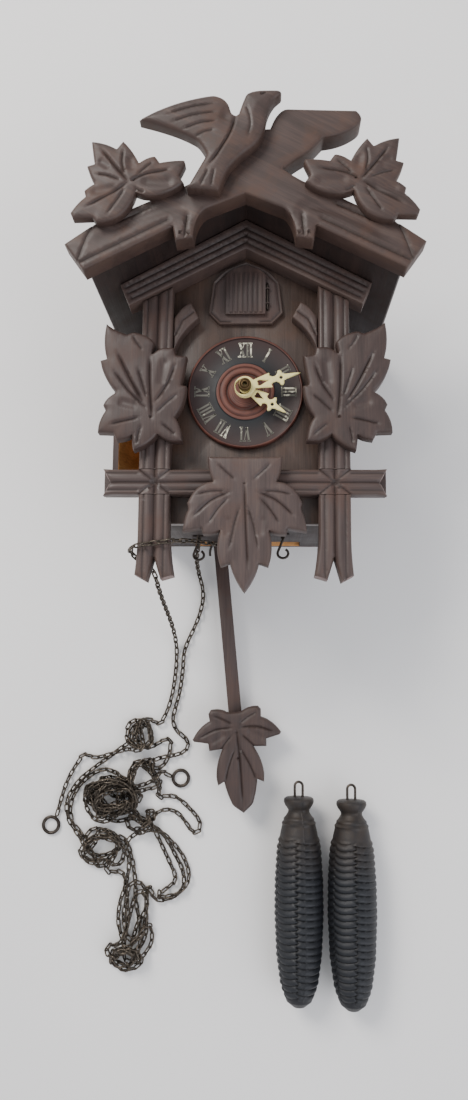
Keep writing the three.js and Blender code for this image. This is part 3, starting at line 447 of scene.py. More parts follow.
def new_piece(name: str, points_mm: np.ndarray, faces: list, finish: str, body: str,
              nodes: tuple[str, ...] = (), smooth: bool = True,
              marks: dict[str, np.ndarray] | None = None) -> bpy.types.Object:
    """Makes a mesh piece, dresses it and ties it to its body.

    Args:
        name: the piece's name.
        points_mm: its points in millimetres, in the row frame.
        faces: its faces as vertex numbers.
        finish: the name of its material.
        body: the body that it rides on.
        nodes: the frame's nodes that it stands for.
        smooth: whether its faces shade smoothly between its sharp edges.
        marks: numbers at each vertex for the material, by name.

    Returns:
        The piece.
    """
    mesh = bpy.data.meshes.new(name)
    mesh.from_pydata((np.asarray(points_mm) * MM).tolist(), [], [tuple(map(int, f)) for f in faces])
    for mark, values in (marks or {}).items():
        layer = mesh.attributes.new(mark, "FLOAT", "POINT")
        layer.data.foreach_set("value", np.asarray(values, dtype=np.float32))
    mesh.validate()
    piece = new_object(name, mesh)
    finish_piece(piece, finish, body, nodes, smooth)
    return piece


def finish_piece(piece: bpy.types.Object, finish: str, body: str,
                 nodes: tuple[str, ...] = (), smooth: bool = True) -> None:
    """Dresses a mesh piece, sets its shading and ties it."""
    FINISHES.dress(piece, finish)
    if smooth:
        piece.data.shade_smooth()
        piece.data.set_sharp_from_angle(angle=SHARP_EDGE)
    else:
        piece.data.shade_flat()
    tie(piece, body, nodes)


def body_of_node(node: str) -> str:
    """The body whose list holds a node."""
    bodies = frame["record"]["behaviour"]["bodies"]
    return next(body for body, nodes in bodies.items() if node in nodes)


def node_triangles(node: str) -> np.ndarray:
    """A frame node's triangles in millimetres, as an array of shape (count, 3, 3)."""
    mesh = frame["nodes"][node].data
    mesh.calc_loop_triangles()
    points = np.array([v.co[:] for v in mesh.vertices]) / MM
    return points[np.array([t.vertices[:] for t in mesh.loop_triangles])]


def levels(node: str) -> tuple[float, float]:
    """The heights of a node's back and front."""
    heights = node_triangles(node)[:, :, 2]
    return heights.min(), heights.max()


def face_loops(node: str) -> list[np.ndarray]:
    """The outlines of a node's flat front, in millimetres, the largest first, holes included."""
    triangles = node_triangles(node)
    flat = triangles[np.abs(triangles[:, :, 2] - triangles[:, :, 2].max()).max(axis=1) < 0.02]
    edges = set()
    for corners in flat:
        keys = [(round(float(x), 3), round(float(y), 3)) for x, y, _ in corners]
        for a, b in zip(keys, keys[1:] + keys[:1]):
            if (b, a) in edges:
                edges.discard((b, a))
            else:
                edges.add((a, b))
    following = dict(edges)
    loops = []
    while following:
        loop, here = [], next(iter(following))
        while here in following:
            loop.append(here)
            here = following.pop(here)
        if len(loop) > 2:
            loops.append(np.array(loop))
    return sorted(loops, key=lambda p: -np.ptp(p[:, 0]) * np.ptp(p[:, 1]))


def unit(v: np.ndarray) -> np.ndarray:
    """A vector's direction."""
    return v / (np.linalg.norm(v) or 1)


def smooth_loop(loop: np.ndarray, step: float, corner: float = 34.0, straight_mm: float = 14.0) -> np.ndarray:
    """Draws a smooth closed line through an outline's points, with its real corners kept.

    Args:
        loop: the outline's points.
        step: the distance between the new points.
        corner: a turn above this many degrees stays a corner.
        straight_mm: a side at least this long stays straight, and a point between two such is a corner.

    Returns:
        The new points.
    """
    before, after = loop - np.roll(loop, 1, 0), np.roll(loop, -1, 0) - loop
    headings = [np.arctan2(way[:, 1], way[:, 0]) for way in (after, before)]
    turn = np.degrees(np.abs(np.angle(np.exp(1j * (headings[0] - headings[1])))))
    short = np.minimum(np.linalg.norm(before, axis=1), np.linalg.norm(after, axis=1)) < straight_mm
    sharp = (turn > corner) | ~short
    out = []
    count = len(loop)
    for i in range(count):
        p0, p1, p2, p3 = (loop[(i + k) % count] for k in (-1, 0, 1, 2))
        length = np.linalg.norm(p2 - p1)
        flat = length > straight_mm
        m1 = p2 - p1 if flat or sharp[i] else unit(p2 - p0) * length
        m2 = p2 - p1 if flat or sharp[(i + 1) % count] else unit(p3 - p1) * length
        for t in np.arange(0, 1, 1 / max(1, round(length / step))):
            out.append((2 * t**3 - 3 * t**2 + 1) * p1 + (t**3 - 2 * t**2 + t) * m1
                       + (3 * t**2 - 2 * t**3) * p2 + (t**3 - t**2) * m2)
    return np.array(out)


def distance_to_lines(points: np.ndarray, line: np.ndarray, closed: bool) -> tuple[np.ndarray, np.ndarray]:
    """The distance from each point to a line, and how far along the line (0 to 1) the nearest place is."""
    ends = np.roll(line, -1, 0) if closed else line[1:]
    starts = line if closed else line[:-1]
    best, where = np.full(len(points), FAR), np.zeros(len(points))
    lengths = np.linalg.norm(ends - starts, axis=1)
    done = np.concatenate([[0], np.cumsum(lengths)])
    for i, (a, b) in enumerate(zip(starts, ends)):
        ab = b - a
        t = np.clip(((points - a) @ ab) / max(float(ab @ ab), NOTHING), 0, 1)
        d = np.linalg.norm(points - a - t[:, None] * ab, axis=1)
        closer = d < best
        best = np.where(closer, d, best)
        where = np.where(closer, (done[i] + t * lengths[i]) / done[-1], where)
    return best, where


def rim_distance(points: np.ndarray, loops: list[np.ndarray]) -> np.ndarray:
    """The distance from each point to the nearest outline."""
    return np.min([distance_to_lines(points, loop, True)[0] for loop in loops], axis=0)


def inside(points: np.ndarray, loop: np.ndarray) -> np.ndarray:
    """Which points lie inside a closed outline."""
    x, y = points[:, 0][:, None], points[:, 1][:, None]
    x0, y0 = loop[:, 0], loop[:, 1]
    x1, y1 = np.roll(x0, -1), np.roll(y0, -1)
    rise = np.where(y1 == y0, NOTHING, y1 - y0)
    crosses = ((y0 > y) != (y1 > y)) & (x < (x1 - x0) * (y - y0) / rise + x0)
    return crosses.sum(axis=1) % 2 == 1


def within(points: np.ndarray, loops: list[np.ndarray]) -> np.ndarray:
    """Which points lie inside the first outline and outside the holes."""
    ok = inside(points, loops[0])
    for hole in loops[1:]:
        ok &= ~inside(points, hole)
    return ok


def filled(points: np.ndarray, edges: list, loops: list[np.ndarray]) -> tuple[np.ndarray, list[tuple]]:
    """Fills the outlines with faces that look up, holes left open, and returns its points and faces."""
    made = delaunay_2d_cdt([Vector(p) for p in points], edges, [], 0, 1e-5)
    points = np.array([v[:] for v in made[0]])
    keep = within(np.array([points[list(face)].mean(axis=0) for face in made[2]]), loops)
    faces = []
    for face in (tuple(f) for f, ok in zip(made[2], keep) if ok):
        a, b, c = points[list(face[:3])]
        looks_up = (b[0] - a[0]) * (c[1] - a[1]) - (b[1] - a[1]) * (c[0] - a[0]) > 0
        faces.append(face if looks_up else face[::-1])
    return points, faces


@dataclass
class Mould:
    """A mesh in the making: points in millimetres, faces, and each point's wear and painted shade."""

    points: list[Point3] = field(default_factory=list)
    faces: list[tuple[int, ...]] = field(default_factory=list)
    wear: list[float] = field(default_factory=list)
    groove_shade: list[float] = field(default_factory=list)

    def add(self, points: list, faces: list, wear: list | None = None, groove_shade: list | None = None) -> None:
        """Adds points, and faces whose numbers count from the first of them."""
        start = len(self.points)
        self.points += points
        self.faces += [tuple(start + i for i in face) for face in faces]
        self.wear += wear or [0.0] * len(points)
        self.groove_shade += groove_shade or [0.0] * len(points)


@dataclass(frozen=True)
class Cut:
    """One stroke of the carver's tool: its line in millimetres, half its width and its depth."""

    line: tuple[Point, ...]
    half_width: float
    depth: float
    soft: bool = False  # a round hollow in place of a V
    taper: bool = True  # the stroke runs out at its ends

    def mirrored(self) -> "Cut":
        """The same stroke on the other side of the centre line."""
        return replace(self, line=tuple((-x, y) for x, y in self.line))

    def sink(self, points: np.ndarray) -> tuple[np.ndarray, np.ndarray]:
        """How deep the stroke goes at each point, in millimetres, and how much painted shade darkens it
        there.
        """
        d, t = distance_to_lines(points, np.array(self.line), closed=False)
        share = np.clip(1 - d / self.half_width, 0, 1)
        profile = np.sin(share * math.pi / 2) ** 2 if self.soft else share**1.4
        ends = np.clip(np.minimum(t, 1 - t) * 5 + 0.15, 0, 1) if self.taper else 1.0
        # Painted shade: V cuts and nail holes darken toward their middle; soft hollows get none.
        dirt_and_shade = 0.0 if self.soft else np.clip(1 - d / min(0.8, self.half_width), 0, 1) * ends
        return self.depth * profile * ends, dirt_and_shade * np.ones(len(points))

    def points(self, step: float) -> np.ndarray:
        """Points along the stroke."""
        line = np.array(self.line)
        return np.array([a + (b - a) * t for a, b in zip(line, line[1:])
                         for t in np.arange(0, 1, step / max(np.linalg.norm(b - a), 0.1))])


def mirrored(cuts: list[Cut]) -> list[Cut]:
    """The same strokes on the other side of the centre line."""
    return [cut.mirrored() for cut in cuts]


@dataclass
class CarvedBoard:
    """A board cut to a frame node's outline, its front carved in relief."""

    node: str
    finish: str
    cuts: list[Cut] = field(default_factory=list)
    edge: float = 1.1  # radius of the rounded front edge
    dome: float = 0.6  # how far the middle stands over the edges
    dome_reach: float = 5.0
    pitch: float = 1.0  # between the mesh points
    slot: str = "stained_wood"

    def edge_distance(self, points: np.ndarray, loops: list[np.ndarray]) -> np.ndarray:
        """The distance from each point to the nearest edge that is rounded."""
        return rim_distance(points, loops)

    def surface(self, points: np.ndarray, loops: list[np.ndarray], top: float) -> tuple:
        """The front's height at each point, its wear marks and its painted shade marks."""
        d = self.edge_distance(points, loops)
        near = np.clip(1 - d / self.edge, 0, 1)
        z = top - self.edge * (1 - np.sqrt(1 - near**2)) + self.dome * (1 - np.exp(-d / self.dome_reach))
        groove_shade = np.zeros(len(points))
        for cut in self.cuts:
            depth, dirt_and_shade = cut.sink(points)
            z = z - depth
            groove_shade = np.maximum(groove_shade, dirt_and_shade)
        return z, np.exp(-np.maximum(d - 0.3, 0) / 0.9), groove_shade

    def mould(self) -> Mould:
        """The board's mesh."""
        made = Mould()
        loops = [smooth_loop(loop, self.pitch) for loop in face_loops(self.node)]
        self.shell(made, loops, *levels(self.node))
        return made

    def build(self) -> bpy.types.Object:
        """Makes the piece and puts it in its node's place."""
        made = self.mould()
        return new_piece(f"{self.node}_carved", made.points, made.faces, self.finish, body_of_node(self.node),
                         (self.node,), marks={"wear": made.wear, "groove_shade": made.groove_shade})

    def points_for(self, loops: list[np.ndarray]) -> np.ndarray:
        """Mesh points inside the outline: a staggered grid, rows beside the edge, lines in the cuts."""
        low, high = loops[0].min(0), loops[0].max(0)
        grid = []
        for row, y in enumerate(np.arange(low[1], high[1], self.pitch * 0.87)):
            xs = np.arange(low[0] + (row % 2) * self.pitch / 2, high[0], self.pitch)
            grid.append(np.stack([xs, np.full(len(xs), y)], axis=1))
        lines = [cut.points(self.pitch * 0.8) for cut in self.cuts if not cut.soft]
        for loop in loops:
            along = np.roll(loop, -1, 0) - np.roll(loop, 1, 0)
            normal = np.stack([-along[:, 1], along[:, 0]], axis=1)
            normal /= np.maximum(np.linalg.norm(normal, axis=1)[:, None], NOTHING)
            lines += [loop + normal * self.edge * share for share in (0.3, 0.9)]
        cell = self.pitch * 0.5
        taken: dict[tuple[int, int], list] = {}
        lined = []
        for p in self.clear_of_edge(np.concatenate(lines), loops, self.edge * 0.26):
            close = (q for key in self.cells_about(p, cell) for q in taken.get(key, ()))
            if not any(np.hypot(*(p - q)) < cell * 0.55 for q in close):
                taken.setdefault((int(p[0] // cell), int(p[1] // cell)), []).append(p)
                lined.append(p)
        grid = [p for p in self.clear_of_edge(np.concatenate(grid), loops, self.edge * 1.25)
                if not any(key in taken for key in self.cells_about(p, cell))]
        return np.array(lined + grid)

    @staticmethod
    def cells_about(point: np.ndarray, cell: float) -> list[tuple[int, int]]:
        """The cell of a square grid that a point lies in, and the eight round it."""
        column, row = int(point[0] // cell), int(point[1] // cell)
        return [(column + i, row + j) for i in (-1, 0, 1) for j in (-1, 0, 1)]

    @staticmethod
    def clear_of_edge(points: np.ndarray, loops: list[np.ndarray], gap: float) -> np.ndarray:
        """The points that lie inside the board and farther than the gap from every edge."""
        return points[within(points, loops) & (rim_distance(points, loops) > gap)]

    def shell(self, made: Mould, loops: list[np.ndarray], bottom: float, top: float) -> None:
        """Adds a closed shell: carved front, straight sides and flat back."""
        rim = np.concatenate(loops)
        edges = []
        for loop in loops:
            start, count = len(edges), len(loop)
            edges += [(start + i, start + (i + 1) % count) for i in range(count)]
        front, front_faces = filled(np.concatenate([rim, self.points_for(loops)]), edges, loops)
        back, back_faces = filled(rim, edges, loops)
        z, worn, dirt_and_shade_mask = self.surface(front, loops, top)
        shift = len(front)
        under = [tuple(shift + i for i in face[::-1]) for face in back_faces]
        walls = [(shift + a, shift + b, b, a) for a, b in edges]
        made.add([(x, y, h) for (x, y), h in zip(front, z)] + [(x, y, bottom) for x, y in back],
                 front_faces + under + walls, [*worn, *[0.3] * len(back)], [*dirt_and_shade_mask, *[0.0] * len(back)])


def softened(node: str, finish: str, width_mm: float, bare: Point3 | None = None) -> None:
    """Makes a copy of a frame node with its hard edges rounded, standing in the node's place.

    Args:
        node: the node's name.
        finish: the material's name.
        width_mm: the rounding's width.
        bare: the direction that its unstained faces look, if it has any.
    """
    bm = bmesh.new()
    bm.from_mesh(frame["nodes"][node].data)
    bmesh.ops.remove_doubles(bm, verts=bm.verts, dist=1e-6)
    bmesh.ops.dissolve_limit(bm, angle_limit=math.radians(1), verts=bm.verts, edges=bm.edges)
    hard = [e for e in bm.edges if len(e.link_faces) == 2 and e.calc_face_angle(0) > math.radians(25)]
    bmesh.ops.bevel(bm, geom=hard, offset=width_mm * MM, segments=2, profile=0.5, affect="EDGES",
                    clamp_overlap=True)
    mesh = bpy.data.meshes.new(f"{node}_board")
    bm.to_mesh(mesh)
    bm.free()
    finish_piece(new_object(mesh.name, mesh), finish, body_of_node(node), (node,))
    if bare:
        second_finish(mesh, "spruce_bare_aged", lambda face: face.normal.dot(Vector(bare)) > 0.6)


def second_finish(mesh: bpy.types.Mesh, finish: str, takes: Callable[[bpy.types.MeshPolygon], bool]) -> None:
    """Gives the faces that a test picks a finish of their own."""
    mesh.materials.append(FINISHES.made[finish])
    for face in mesh.polygons:
        if takes(face):
            face.material_index = 1


def lathe(profile: list[Point], steps: int) -> tuple[np.ndarray, list]:
    """Turns a closed profile of (radius, height) points about the Z axis, in millimetres."""
    count = len(profile)
    turns = [2 * math.pi * i / steps for i in range(steps)]
    points = np.array([(r * math.cos(a), r * math.sin(a), z) for a in turns for r, z in profile])
    return points, wrapped(steps, count, count)


def wrapped(columns: int, rows: int, rows_used: int) -> list[tuple]:
    """The faces of a closed band of columns, each with so many rows of points."""
    return [(i * rows + j, (i + 1) % columns * rows + j, (i + 1) % columns * rows + (j + 1) % rows,
             i * rows + (j + 1) % rows) for i in range(columns) for j in range(rows_used)]


def tube_mesh(line: np.ndarray, radius: float, sides: int = 8,
              closed: bool = False) -> tuple[np.ndarray, list]:
    """A round bar along a line, in millimetres, its ends closed."""
    ahead = np.roll(line, -1, 0) - np.roll(line, 1, 0)
    if not closed:
        ahead[0], ahead[-1] = line[1] - line[0], line[-1] - line[-2]
    ahead /= np.linalg.norm(ahead, axis=1)[:, None]
    side = np.cross(ahead[0], (0, 0, 1.0))
    if np.linalg.norm(side) < 0.1:
        side = np.cross(ahead[0], (0, 1.0, 0))
    points, faces = [], []
    for centre, along in zip(line, ahead):
        side = unit(side - along * (side @ along))
        up = np.cross(along, side)
        for a in (2 * math.pi * k / sides for k in range(sides)):
            points.append(centre + radius * (math.cos(a) * side + math.sin(a) * up))
    rows = len(line)
    for i in range(rows if closed else rows - 1):
        here, there = i * sides, (i + 1) % rows * sides
        for k in range(sides):
            after = (k + 1) % sides
            faces.append((here + k, here + after, there + after, there + k))
    if not closed:
        faces.append(tuple(range(sides))[::-1])
        faces.append(tuple((rows - 1) * sides + k for k in range(sides)))
    return np.array(points), faces


def spline(points: list, step: float) -> np.ndarray:
    """A smooth line through points, with a point about every step."""
    p = np.array(points, dtype=float)
    p = np.concatenate([[2 * p[0] - p[1]], p, [2 * p[-1] - p[-2]]])
    out = []
    for a, b, c, d in zip(p, p[1:], p[2:], p[3:]):
        for t in np.arange(0, 1, 1 / max(1, round(np.linalg.norm(c - b) / step))):
            out.append(0.5 * (2 * b + (c - a) * t + (2 * a - 5 * b + 4 * c - d) * t**2
                              + (3 * b - a - 3 * c + d) * t**3))
    out.append(p[-2])
    return np.array(out)


# ---- chains -------------------------------------------------------------------------------------
CHAIN_PITCH = 4.6
CHAIN_LINK_WIDTH = 3.6
CHAIN_WIRE = 1.1
LAYER = 2.1  # how much higher a strand lies where it crosses another
CROSS_REACH = 3.6  # how near two strands come before one is lifted
HEAP_TOP = 15.0  # no strand is lifted higher than this
HEAP_HEIGHT = 2.2  # of a strand's middle on the floor, in the heap and on the way to it
ROUTE_HEIGHT = 2.4
STRAND_STEP = 2.0  # between the points of a chain's line
COIL_POINTS = 7  # to a turn
RING_RADIUS = 5.25
RING_WIRE = 2.3
RING_HEIGHT = 1.45
SPROCKET_REACH = 10.6  # from the sprocket's centre to the chain's middle


def link_tree() -> Tree:
    """Builds the node group that strings links along a line.

    Returns:
        The group. Its inputs are the mesh line, the pitch, the link's width, the wire's diameter, the
        unevenness of the links' roll, the seed and the material.
    """
    tree = bpy.data.node_groups.new("links_along_line", "GeometryNodeTree")
    face = tree.interface
    face.new_socket("Line", in_out="INPUT", socket_type="NodeSocketGeometry")
    for name, value in (("Pitch", CHAIN_PITCH * MM), ("Link Width", CHAIN_LINK_WIDTH * MM),
                        ("Wire", CHAIN_WIRE * MM), ("Roll Unevenness", math.radians(9))):
        face.new_socket(name, in_out="INPUT", socket_type="NodeSocketFloat").default_value = value
    face.new_socket("Seed", in_out="INPUT", socket_type="NodeSocketInt").default_value = 7
    face.new_socket("Material", in_out="INPUT", socket_type="NodeSocketMaterial")
    face.new_socket("Links", in_out="OUTPUT", socket_type="NodeSocketGeometry")
    given = tree.nodes.new("NodeGroupInput").outputs
    result = tree.nodes.new("NodeGroupOutput")

    curve = add_node(tree, "GeometryNodeMeshToCurve", links={"Mesh": given["Line"]})
    upright = add_node(tree, "GeometryNodeSetCurveNormal", {"mode": "Z_UP"},
                       links={"Curve": curve.outputs[0]})
    even = add_node(tree, "GeometryNodeResampleCurve", {"mode": "LENGTH"},
                    links={"Curve": upright.outputs[0], "Length": given["Pitch"]})
    spots = add_node(tree, "GeometryNodeCurveToPoints", {"mode": "EVALUATED"},
                     links={"Curve": even.outputs[0]})

    wide = both(tree, given["Link Width"], given["Wire"], "SUBTRACT")
    long = both(tree, given["Pitch"], given["Wire"], "ADD")
    oblong = add_node(tree, "GeometryNodeCurvePrimitiveQuadrilateral", {"mode": "RECTANGLE"},
                      links={"Width": wide, "Height": long})
    rounded = add_node(tree, "GeometryNodeFilletCurve", {"mode": "POLY"}, values={"Count": 2},
                       links={"Curve": oblong.outputs[0], "Radius": both(tree, wide, 0.49)})
    wire = add_node(tree, "GeometryNodeCurvePrimitiveCircle", values={"Resolution": 6},
                    links={"Radius": both(tree, given["Wire"], 0.5)})
    bent = add_node(tree, "GeometryNodeCurveToMesh", links={"Curve": rounded.outputs[0],
                                                           "Profile Curve": wire.outputs[0]})
    link = add_node(tree, "GeometryNodeTransform", values={"Rotation": (math.pi / 2, 0.0, 0.0)},
                    links={"Geometry": bent.outputs[0]})

    index = tree.nodes.new("GeometryNodeInputIndex").outputs[0]
    odd = both(tree, index, 2.0, "MODULO")
    quarter = both(tree, both(tree, odd, math.pi / 2), -math.pi / 4, "ADD")
    chance = add_node(tree, "FunctionNodeRandomValue", {"data_type": "FLOAT"}, links={"Seed": given["Seed"]})
    chance.inputs[2].default_value = -1.0
    uneven = both(tree, chance.outputs[1], given["Roll Unevenness"])
    roll = add_node(tree, "ShaderNodeCombineXYZ", links={"Z": both(tree, quarter, uneven, "ADD")})
    turned = add_node(tree, "FunctionNodeRotateRotation", {"rotation_space": "LOCAL"},
                      links={0: spots.outputs["Rotation"], 1: roll.outputs[0]})
    placed = add_node(tree, "GeometryNodeInstanceOnPoints",
                      links={"Points": spots.outputs[0], "Instance": link.outputs[0],
                             "Rotation": turned.outputs[0]})
    real = add_node(tree, "GeometryNodeRealizeInstances", links={0: placed.outputs[0]})
    smooth = add_node(tree, "GeometryNodeSetShadeSmooth", links={"Geometry": real.outputs[0]})
    dressed = add_node(tree, "GeometryNodeSetMaterial", links={"Geometry": smooth.outputs[0],
                                                              "Material": given["Material"]})
    tree.links.new(dressed.outputs[0], result.inputs[0])
    return tree


@dataclass
class Chain:
    """A chain of oval wire links strung along a line."""

    name: str
    line: np.ndarray  # millimetres
    nodes: tuple[str, ...]
    seed: int

    def build(self, tree: Tree) -> bpy.types.Object:
        """Strings the links and makes them a plain mesh piece."""
        mesh = bpy.data.meshes.new(f"{self.name}_line")
        mesh.from_pydata((self.line * MM).tolist(), [(i, i + 1) for i in range(len(self.line) - 1)], [])
        source = new_object(mesh.name, mesh)
        strung = source.modifiers.new("links", "NODES")
        strung.node_group = tree
        values = {"Seed": self.seed, "Material": FINISHES.made["steel_chain_darkened"]}
        for socket in tree.interface.items_tree:
            if socket.in_out == "INPUT" and socket.name in values:
                strung[socket.identifier] = values[socket.name]
        bpy.context.view_layer.update()
        ready = source.evaluated_get(bpy.context.evaluated_depsgraph_get())
        piece = new_object(self.name, bpy.data.meshes.new_from_object(ready))
        bpy.data.objects.remove(source)
        FINISHES.dress(piece, "steel_chain_darkened")
        tie(piece, body_of_node(self.nodes[0]), self.nodes)
        return piece


def coil(centre: Point, radii: Point, turns: float, start: float, seed: int) -> list[Point]:
    """Uneven turns of a strand dropped about one place.

    Args:
        centre: the middle of the turns.
        radii: how far they reach across and along.
        turns: how many there are; below 0 they run clockwise.
        start: where the first begins, in degrees.
        seed: fixes their unevenness.

    Returns:
        The points that the strand goes through.
    """
    chance = np.random.default_rng(seed)
    angle = math.radians(start)
    points = []
    for _ in range(int(abs(turns) * COIL_POINTS)):
        angle += math.copysign(math.radians(chance.uniform(38, 68)), turns)
        size = chance.uniform(0.35, 1.12)
        points.append((centre[0] + radii[0] * size * math.cos(angle),
                       centre[1] + radii[1] * size * math.sin(angle)))
    return points


def lying(points: list[Point], height: float) -> list[Point3]:
    """The same points at one height."""
    return [(x, y, height) for x, y in points]


TIME_ROUTE = [
    (2.4, -81.6, 60), (2.2, -85, 60.4), (-3, -89, 68), (-12, -90.5, 80), (-22, -90.6, 92), (-31, -91, 102.5),
    (-37, -91.8, 108.4), (-42, -92.4, 112.2), (-48, -93.2, 112.8), (-55, -94.2, 112.8), (-61, -95.2, 113),
    (-64.4, -96, 112), (-66, -97, 109), (-66, -98, 104), (-65.2, -99.6, 98.4), (-62, -101.8, 95),
    (-57, -105, 94), (-54, -109, 92), (-52.9, -114, 86), (-52.4, -119, 74), (-51.9, -124, 58),
    (-51.2, -129, 42), (-50.4, -134, 28), (-49.6, -140, 15), (-49, -146, 6.6), (-48.6, -152.5, 2.8),
    *lying([(-48.6, -161), (-49.4, -171), (-50.8, -181), (-53, -190), (-56, -197.5), (-60, -203)],
           ROUTE_HEIGHT),
]
STRIKE_ROUTE = [
    (-30.6, -81.6, 50), (-30.8, -85, 49.6), (-32, -89, 44), (-33.2, -93, 32), (-33.6, -97, 18),
    (-33.2, -101, 8), (-32.2, -105.5, 3),
    *lying([(-31, -111), (-31, -119), (-33.4, -129), (-37.4, -139), (-41.2, -147.5), (-43.4, -155),
            (-43.9, -163), (-44.7, -172), (-46.2, -182), (-48.4, -191), (-50.2, -199), (-48.6, -206),
            (-44, -210.5), (-40, -215), (-41, -220), (-46, -223), (-53, -224.5), (-59.2, -226)],
           ROUTE_HEIGHT),
]
TIME_HEAP = [
    (-66, -200), (-73, -202), (-79, -208), (-80, -215), (-74, -219), (-67, -216), (-65, -209), (-69, -204),
    (-75, -207), (-74, -214), (-68, -219), (-60, -216), (-53, -213), (-52, -220), (-54, -227), (-60, -233),
    (-68, -229), (-76, -231), (-80, -238), (-77, -246), (-84, -252), (-92, -250), (-97, -243), (-104, -248),
    (-104, -258), (-96, -264), (-86, -262), (-79, -256), (-82, -246),
    *coil((-90, -251), (17, 13), 5.2, 100, 1), (-98, -262), (-88, -268), (-76, -266), (-64, -270),
    (-55, -277), (-48, -288), (-42, -300), (-42, -311),
    (-50, -317), (-60, -318), (-65, -310), (-66, -325), (-66, -340), (-71, -350),
    *coil((-80, -356), (11, 8), 2.2, 30, 2), (-75, -358), (-70, -348), (-70, -335), (-73, -320), (-74, -305),
    (-77, -290), (-83, -279), *coil((-96, -285), (15, 12), 2.6, 60, 3), (-110, -277), (-117, -270),
    (-119, -258), (-114, -246), (-106, -238), (-97, -234), (-88, -236), (-78, -240),
    *coil((-70, -238), (12, 11), -2.0, 180, 4), (-62, -241), (-58, -234.4), (-55.6, -236.2), (-53.2, -237),
]
STRIKE_HEAP = [
    (-64, -229), (-62, -238), (-58, -246), (-60, -251), (-48, -251.5), (-38, -259), (-31, -268), (-34, -275),
    (-39, -270), (-45, -263), (-52, -260), (-60, -262), (-66, -267), (-76, -262), (-86, -256),
    *coil((-91, -252), (16, 12), 2.9, 0, 5), (-85, -262), (-96, -268), (-106, -263), (-108, -252),
    (-101, -243), (-90, -240), (-80, -243), (-74, -250), (-74, -260), (-66, -272),
    *coil((-72, -268), (12, 7), 1.0, 60, 6), (-57, -282), (-51, -294), (-47, -305), (-54, -312), (-58, -316),
    (-46, -314), (-38, -305), (-41, -292), (-50, -280), (-60, -273), (-72, -275), (-80, -282), (-78, -294),
    (-80, -308), (-84, -322), (-84, -336), *coil((-75, -325), (9, 24), 1.6, 200, 7), (-80, -346), (-72, -343),
    (-64, -334), (-62, -345), (-68, -354), (-74, -357), *coil((-80, -355), (11, 8), 1.6, 320, 8), (-92, -350),
    (-82, -344), (-78, -332), (-79, -316), (-82, -302), (-93, -300),
    *coil((-95, -288), (15, 11), 1.6, 300, 9), (-106, -283), (-113, -276), (-120, -266), (-121, -254),
    (-114, -242), (-104, -233), (-94, -226),
    (-85, -219), (-78, -214), *coil((-72, -209), (10, 9), 2.2, 20, 10), (-70, -219), (-80, -220), (-91, -223),
    (-103, -226), (-110.5, -224), (-114, -228), (-119, -236), (-123, -245), (-125.6, -254), (-127.8, -262.6),
]


@dataclass(frozen=True)
class PullChain:
    """One pull chain: its route, its heap, its end ring and its run over the sprocket inside."""

    side: str
    route: list[Point3]
    heap: list[Point]
    nodes: tuple[str, ...]
    seed: int
    falling: int  # how many of the route's last points may be lifted by what lies below them
    ring_at: Point
    sprocket_at: Point  # across the case, and above its back
    pull: int  # 1 where the weight hangs on the right of the sprocket, -1 on the left

    def ring(self) -> bpy.types.Object:
        """The steel ring that keeps the chain's free end from running into the case."""
        x, y = self.ring_at
        turn = np.linspace(0, 2 * math.pi, 41)[:-1]
        line = [(x + RING_RADIUS * math.cos(a), y + RING_RADIUS * math.sin(a), RING_HEIGHT) for a in turn]
        points, faces = tube_mesh(np.array(line), RING_WIRE / 2, 10, closed=True)
        node = f"{self.side}_chain_ring"
        return new_piece(f"{node}_wire", points, faces, "steel_wire_dull", body_of_node(node),
                         (node,))

    def inner_run(self, tree: Tree) -> None:
        """The links inside the case, over the sprocket, and the S hook that carries the weight."""
        node = f"{self.side}_chain_loop"
        centre, z = self.sprocket_at
        reach = self.pull * SPROCKET_REACH
        bend = np.radians(np.linspace(180, 0, 15))
        line = [(centre - reach, -80.5, z), (centre - reach, -50, z)]
        line += [(centre + reach * math.cos(a), -20 + SPROCKET_REACH * math.sin(a), z) for a in bend]
        hook_x = centre + reach
        line += [(hook_x, -50, z), (hook_x, -80.5, z)]
        Chain(f"{node}_links", spline(line, STRAND_STEP), (node,), 3).build(tree)
        hook = [(hook_x, -81 - 0.4 * i, z) for i in range(8)]
        hook += [(hook_x + 3.4 * math.cos(a), -92.6 + 3.0 * math.sin(a), z)
                 for a in np.radians(np.linspace(-200, 60, 14))]
        points, faces = tube_mesh(spline(hook, 0.8), 0.8)
        new_piece(f"{self.side}_weight_hook", points, faces, "steel_wire_dull", body_of_node(node))

    def line(self) -> np.ndarray:
        """The chain's line before its strands are stacked."""
        return spline(self.route + lying(self.heap, HEAP_HEIGHT), STRAND_STEP)

    def held(self) -> int:
        """How many of the line's first points keep their height."""
        return len(spline(self.route, STRAND_STEP)) - self.falling


PULL_CHAINS = (
    PullChain("time", TIME_ROUTE, TIME_HEAP, ("time_chain", "time_chain_tail", "chain_heap"), 7, 0,
              (-44.4, -239.2), (13.0, 60.0), 1),
    PullChain("strike", STRIKE_ROUTE, STRIKE_HEAP, ("strike_chain", "strike_chain_tail"), 11, 12,
              (-132.2, -271.2), (-20.0, 50.0), -1),
)


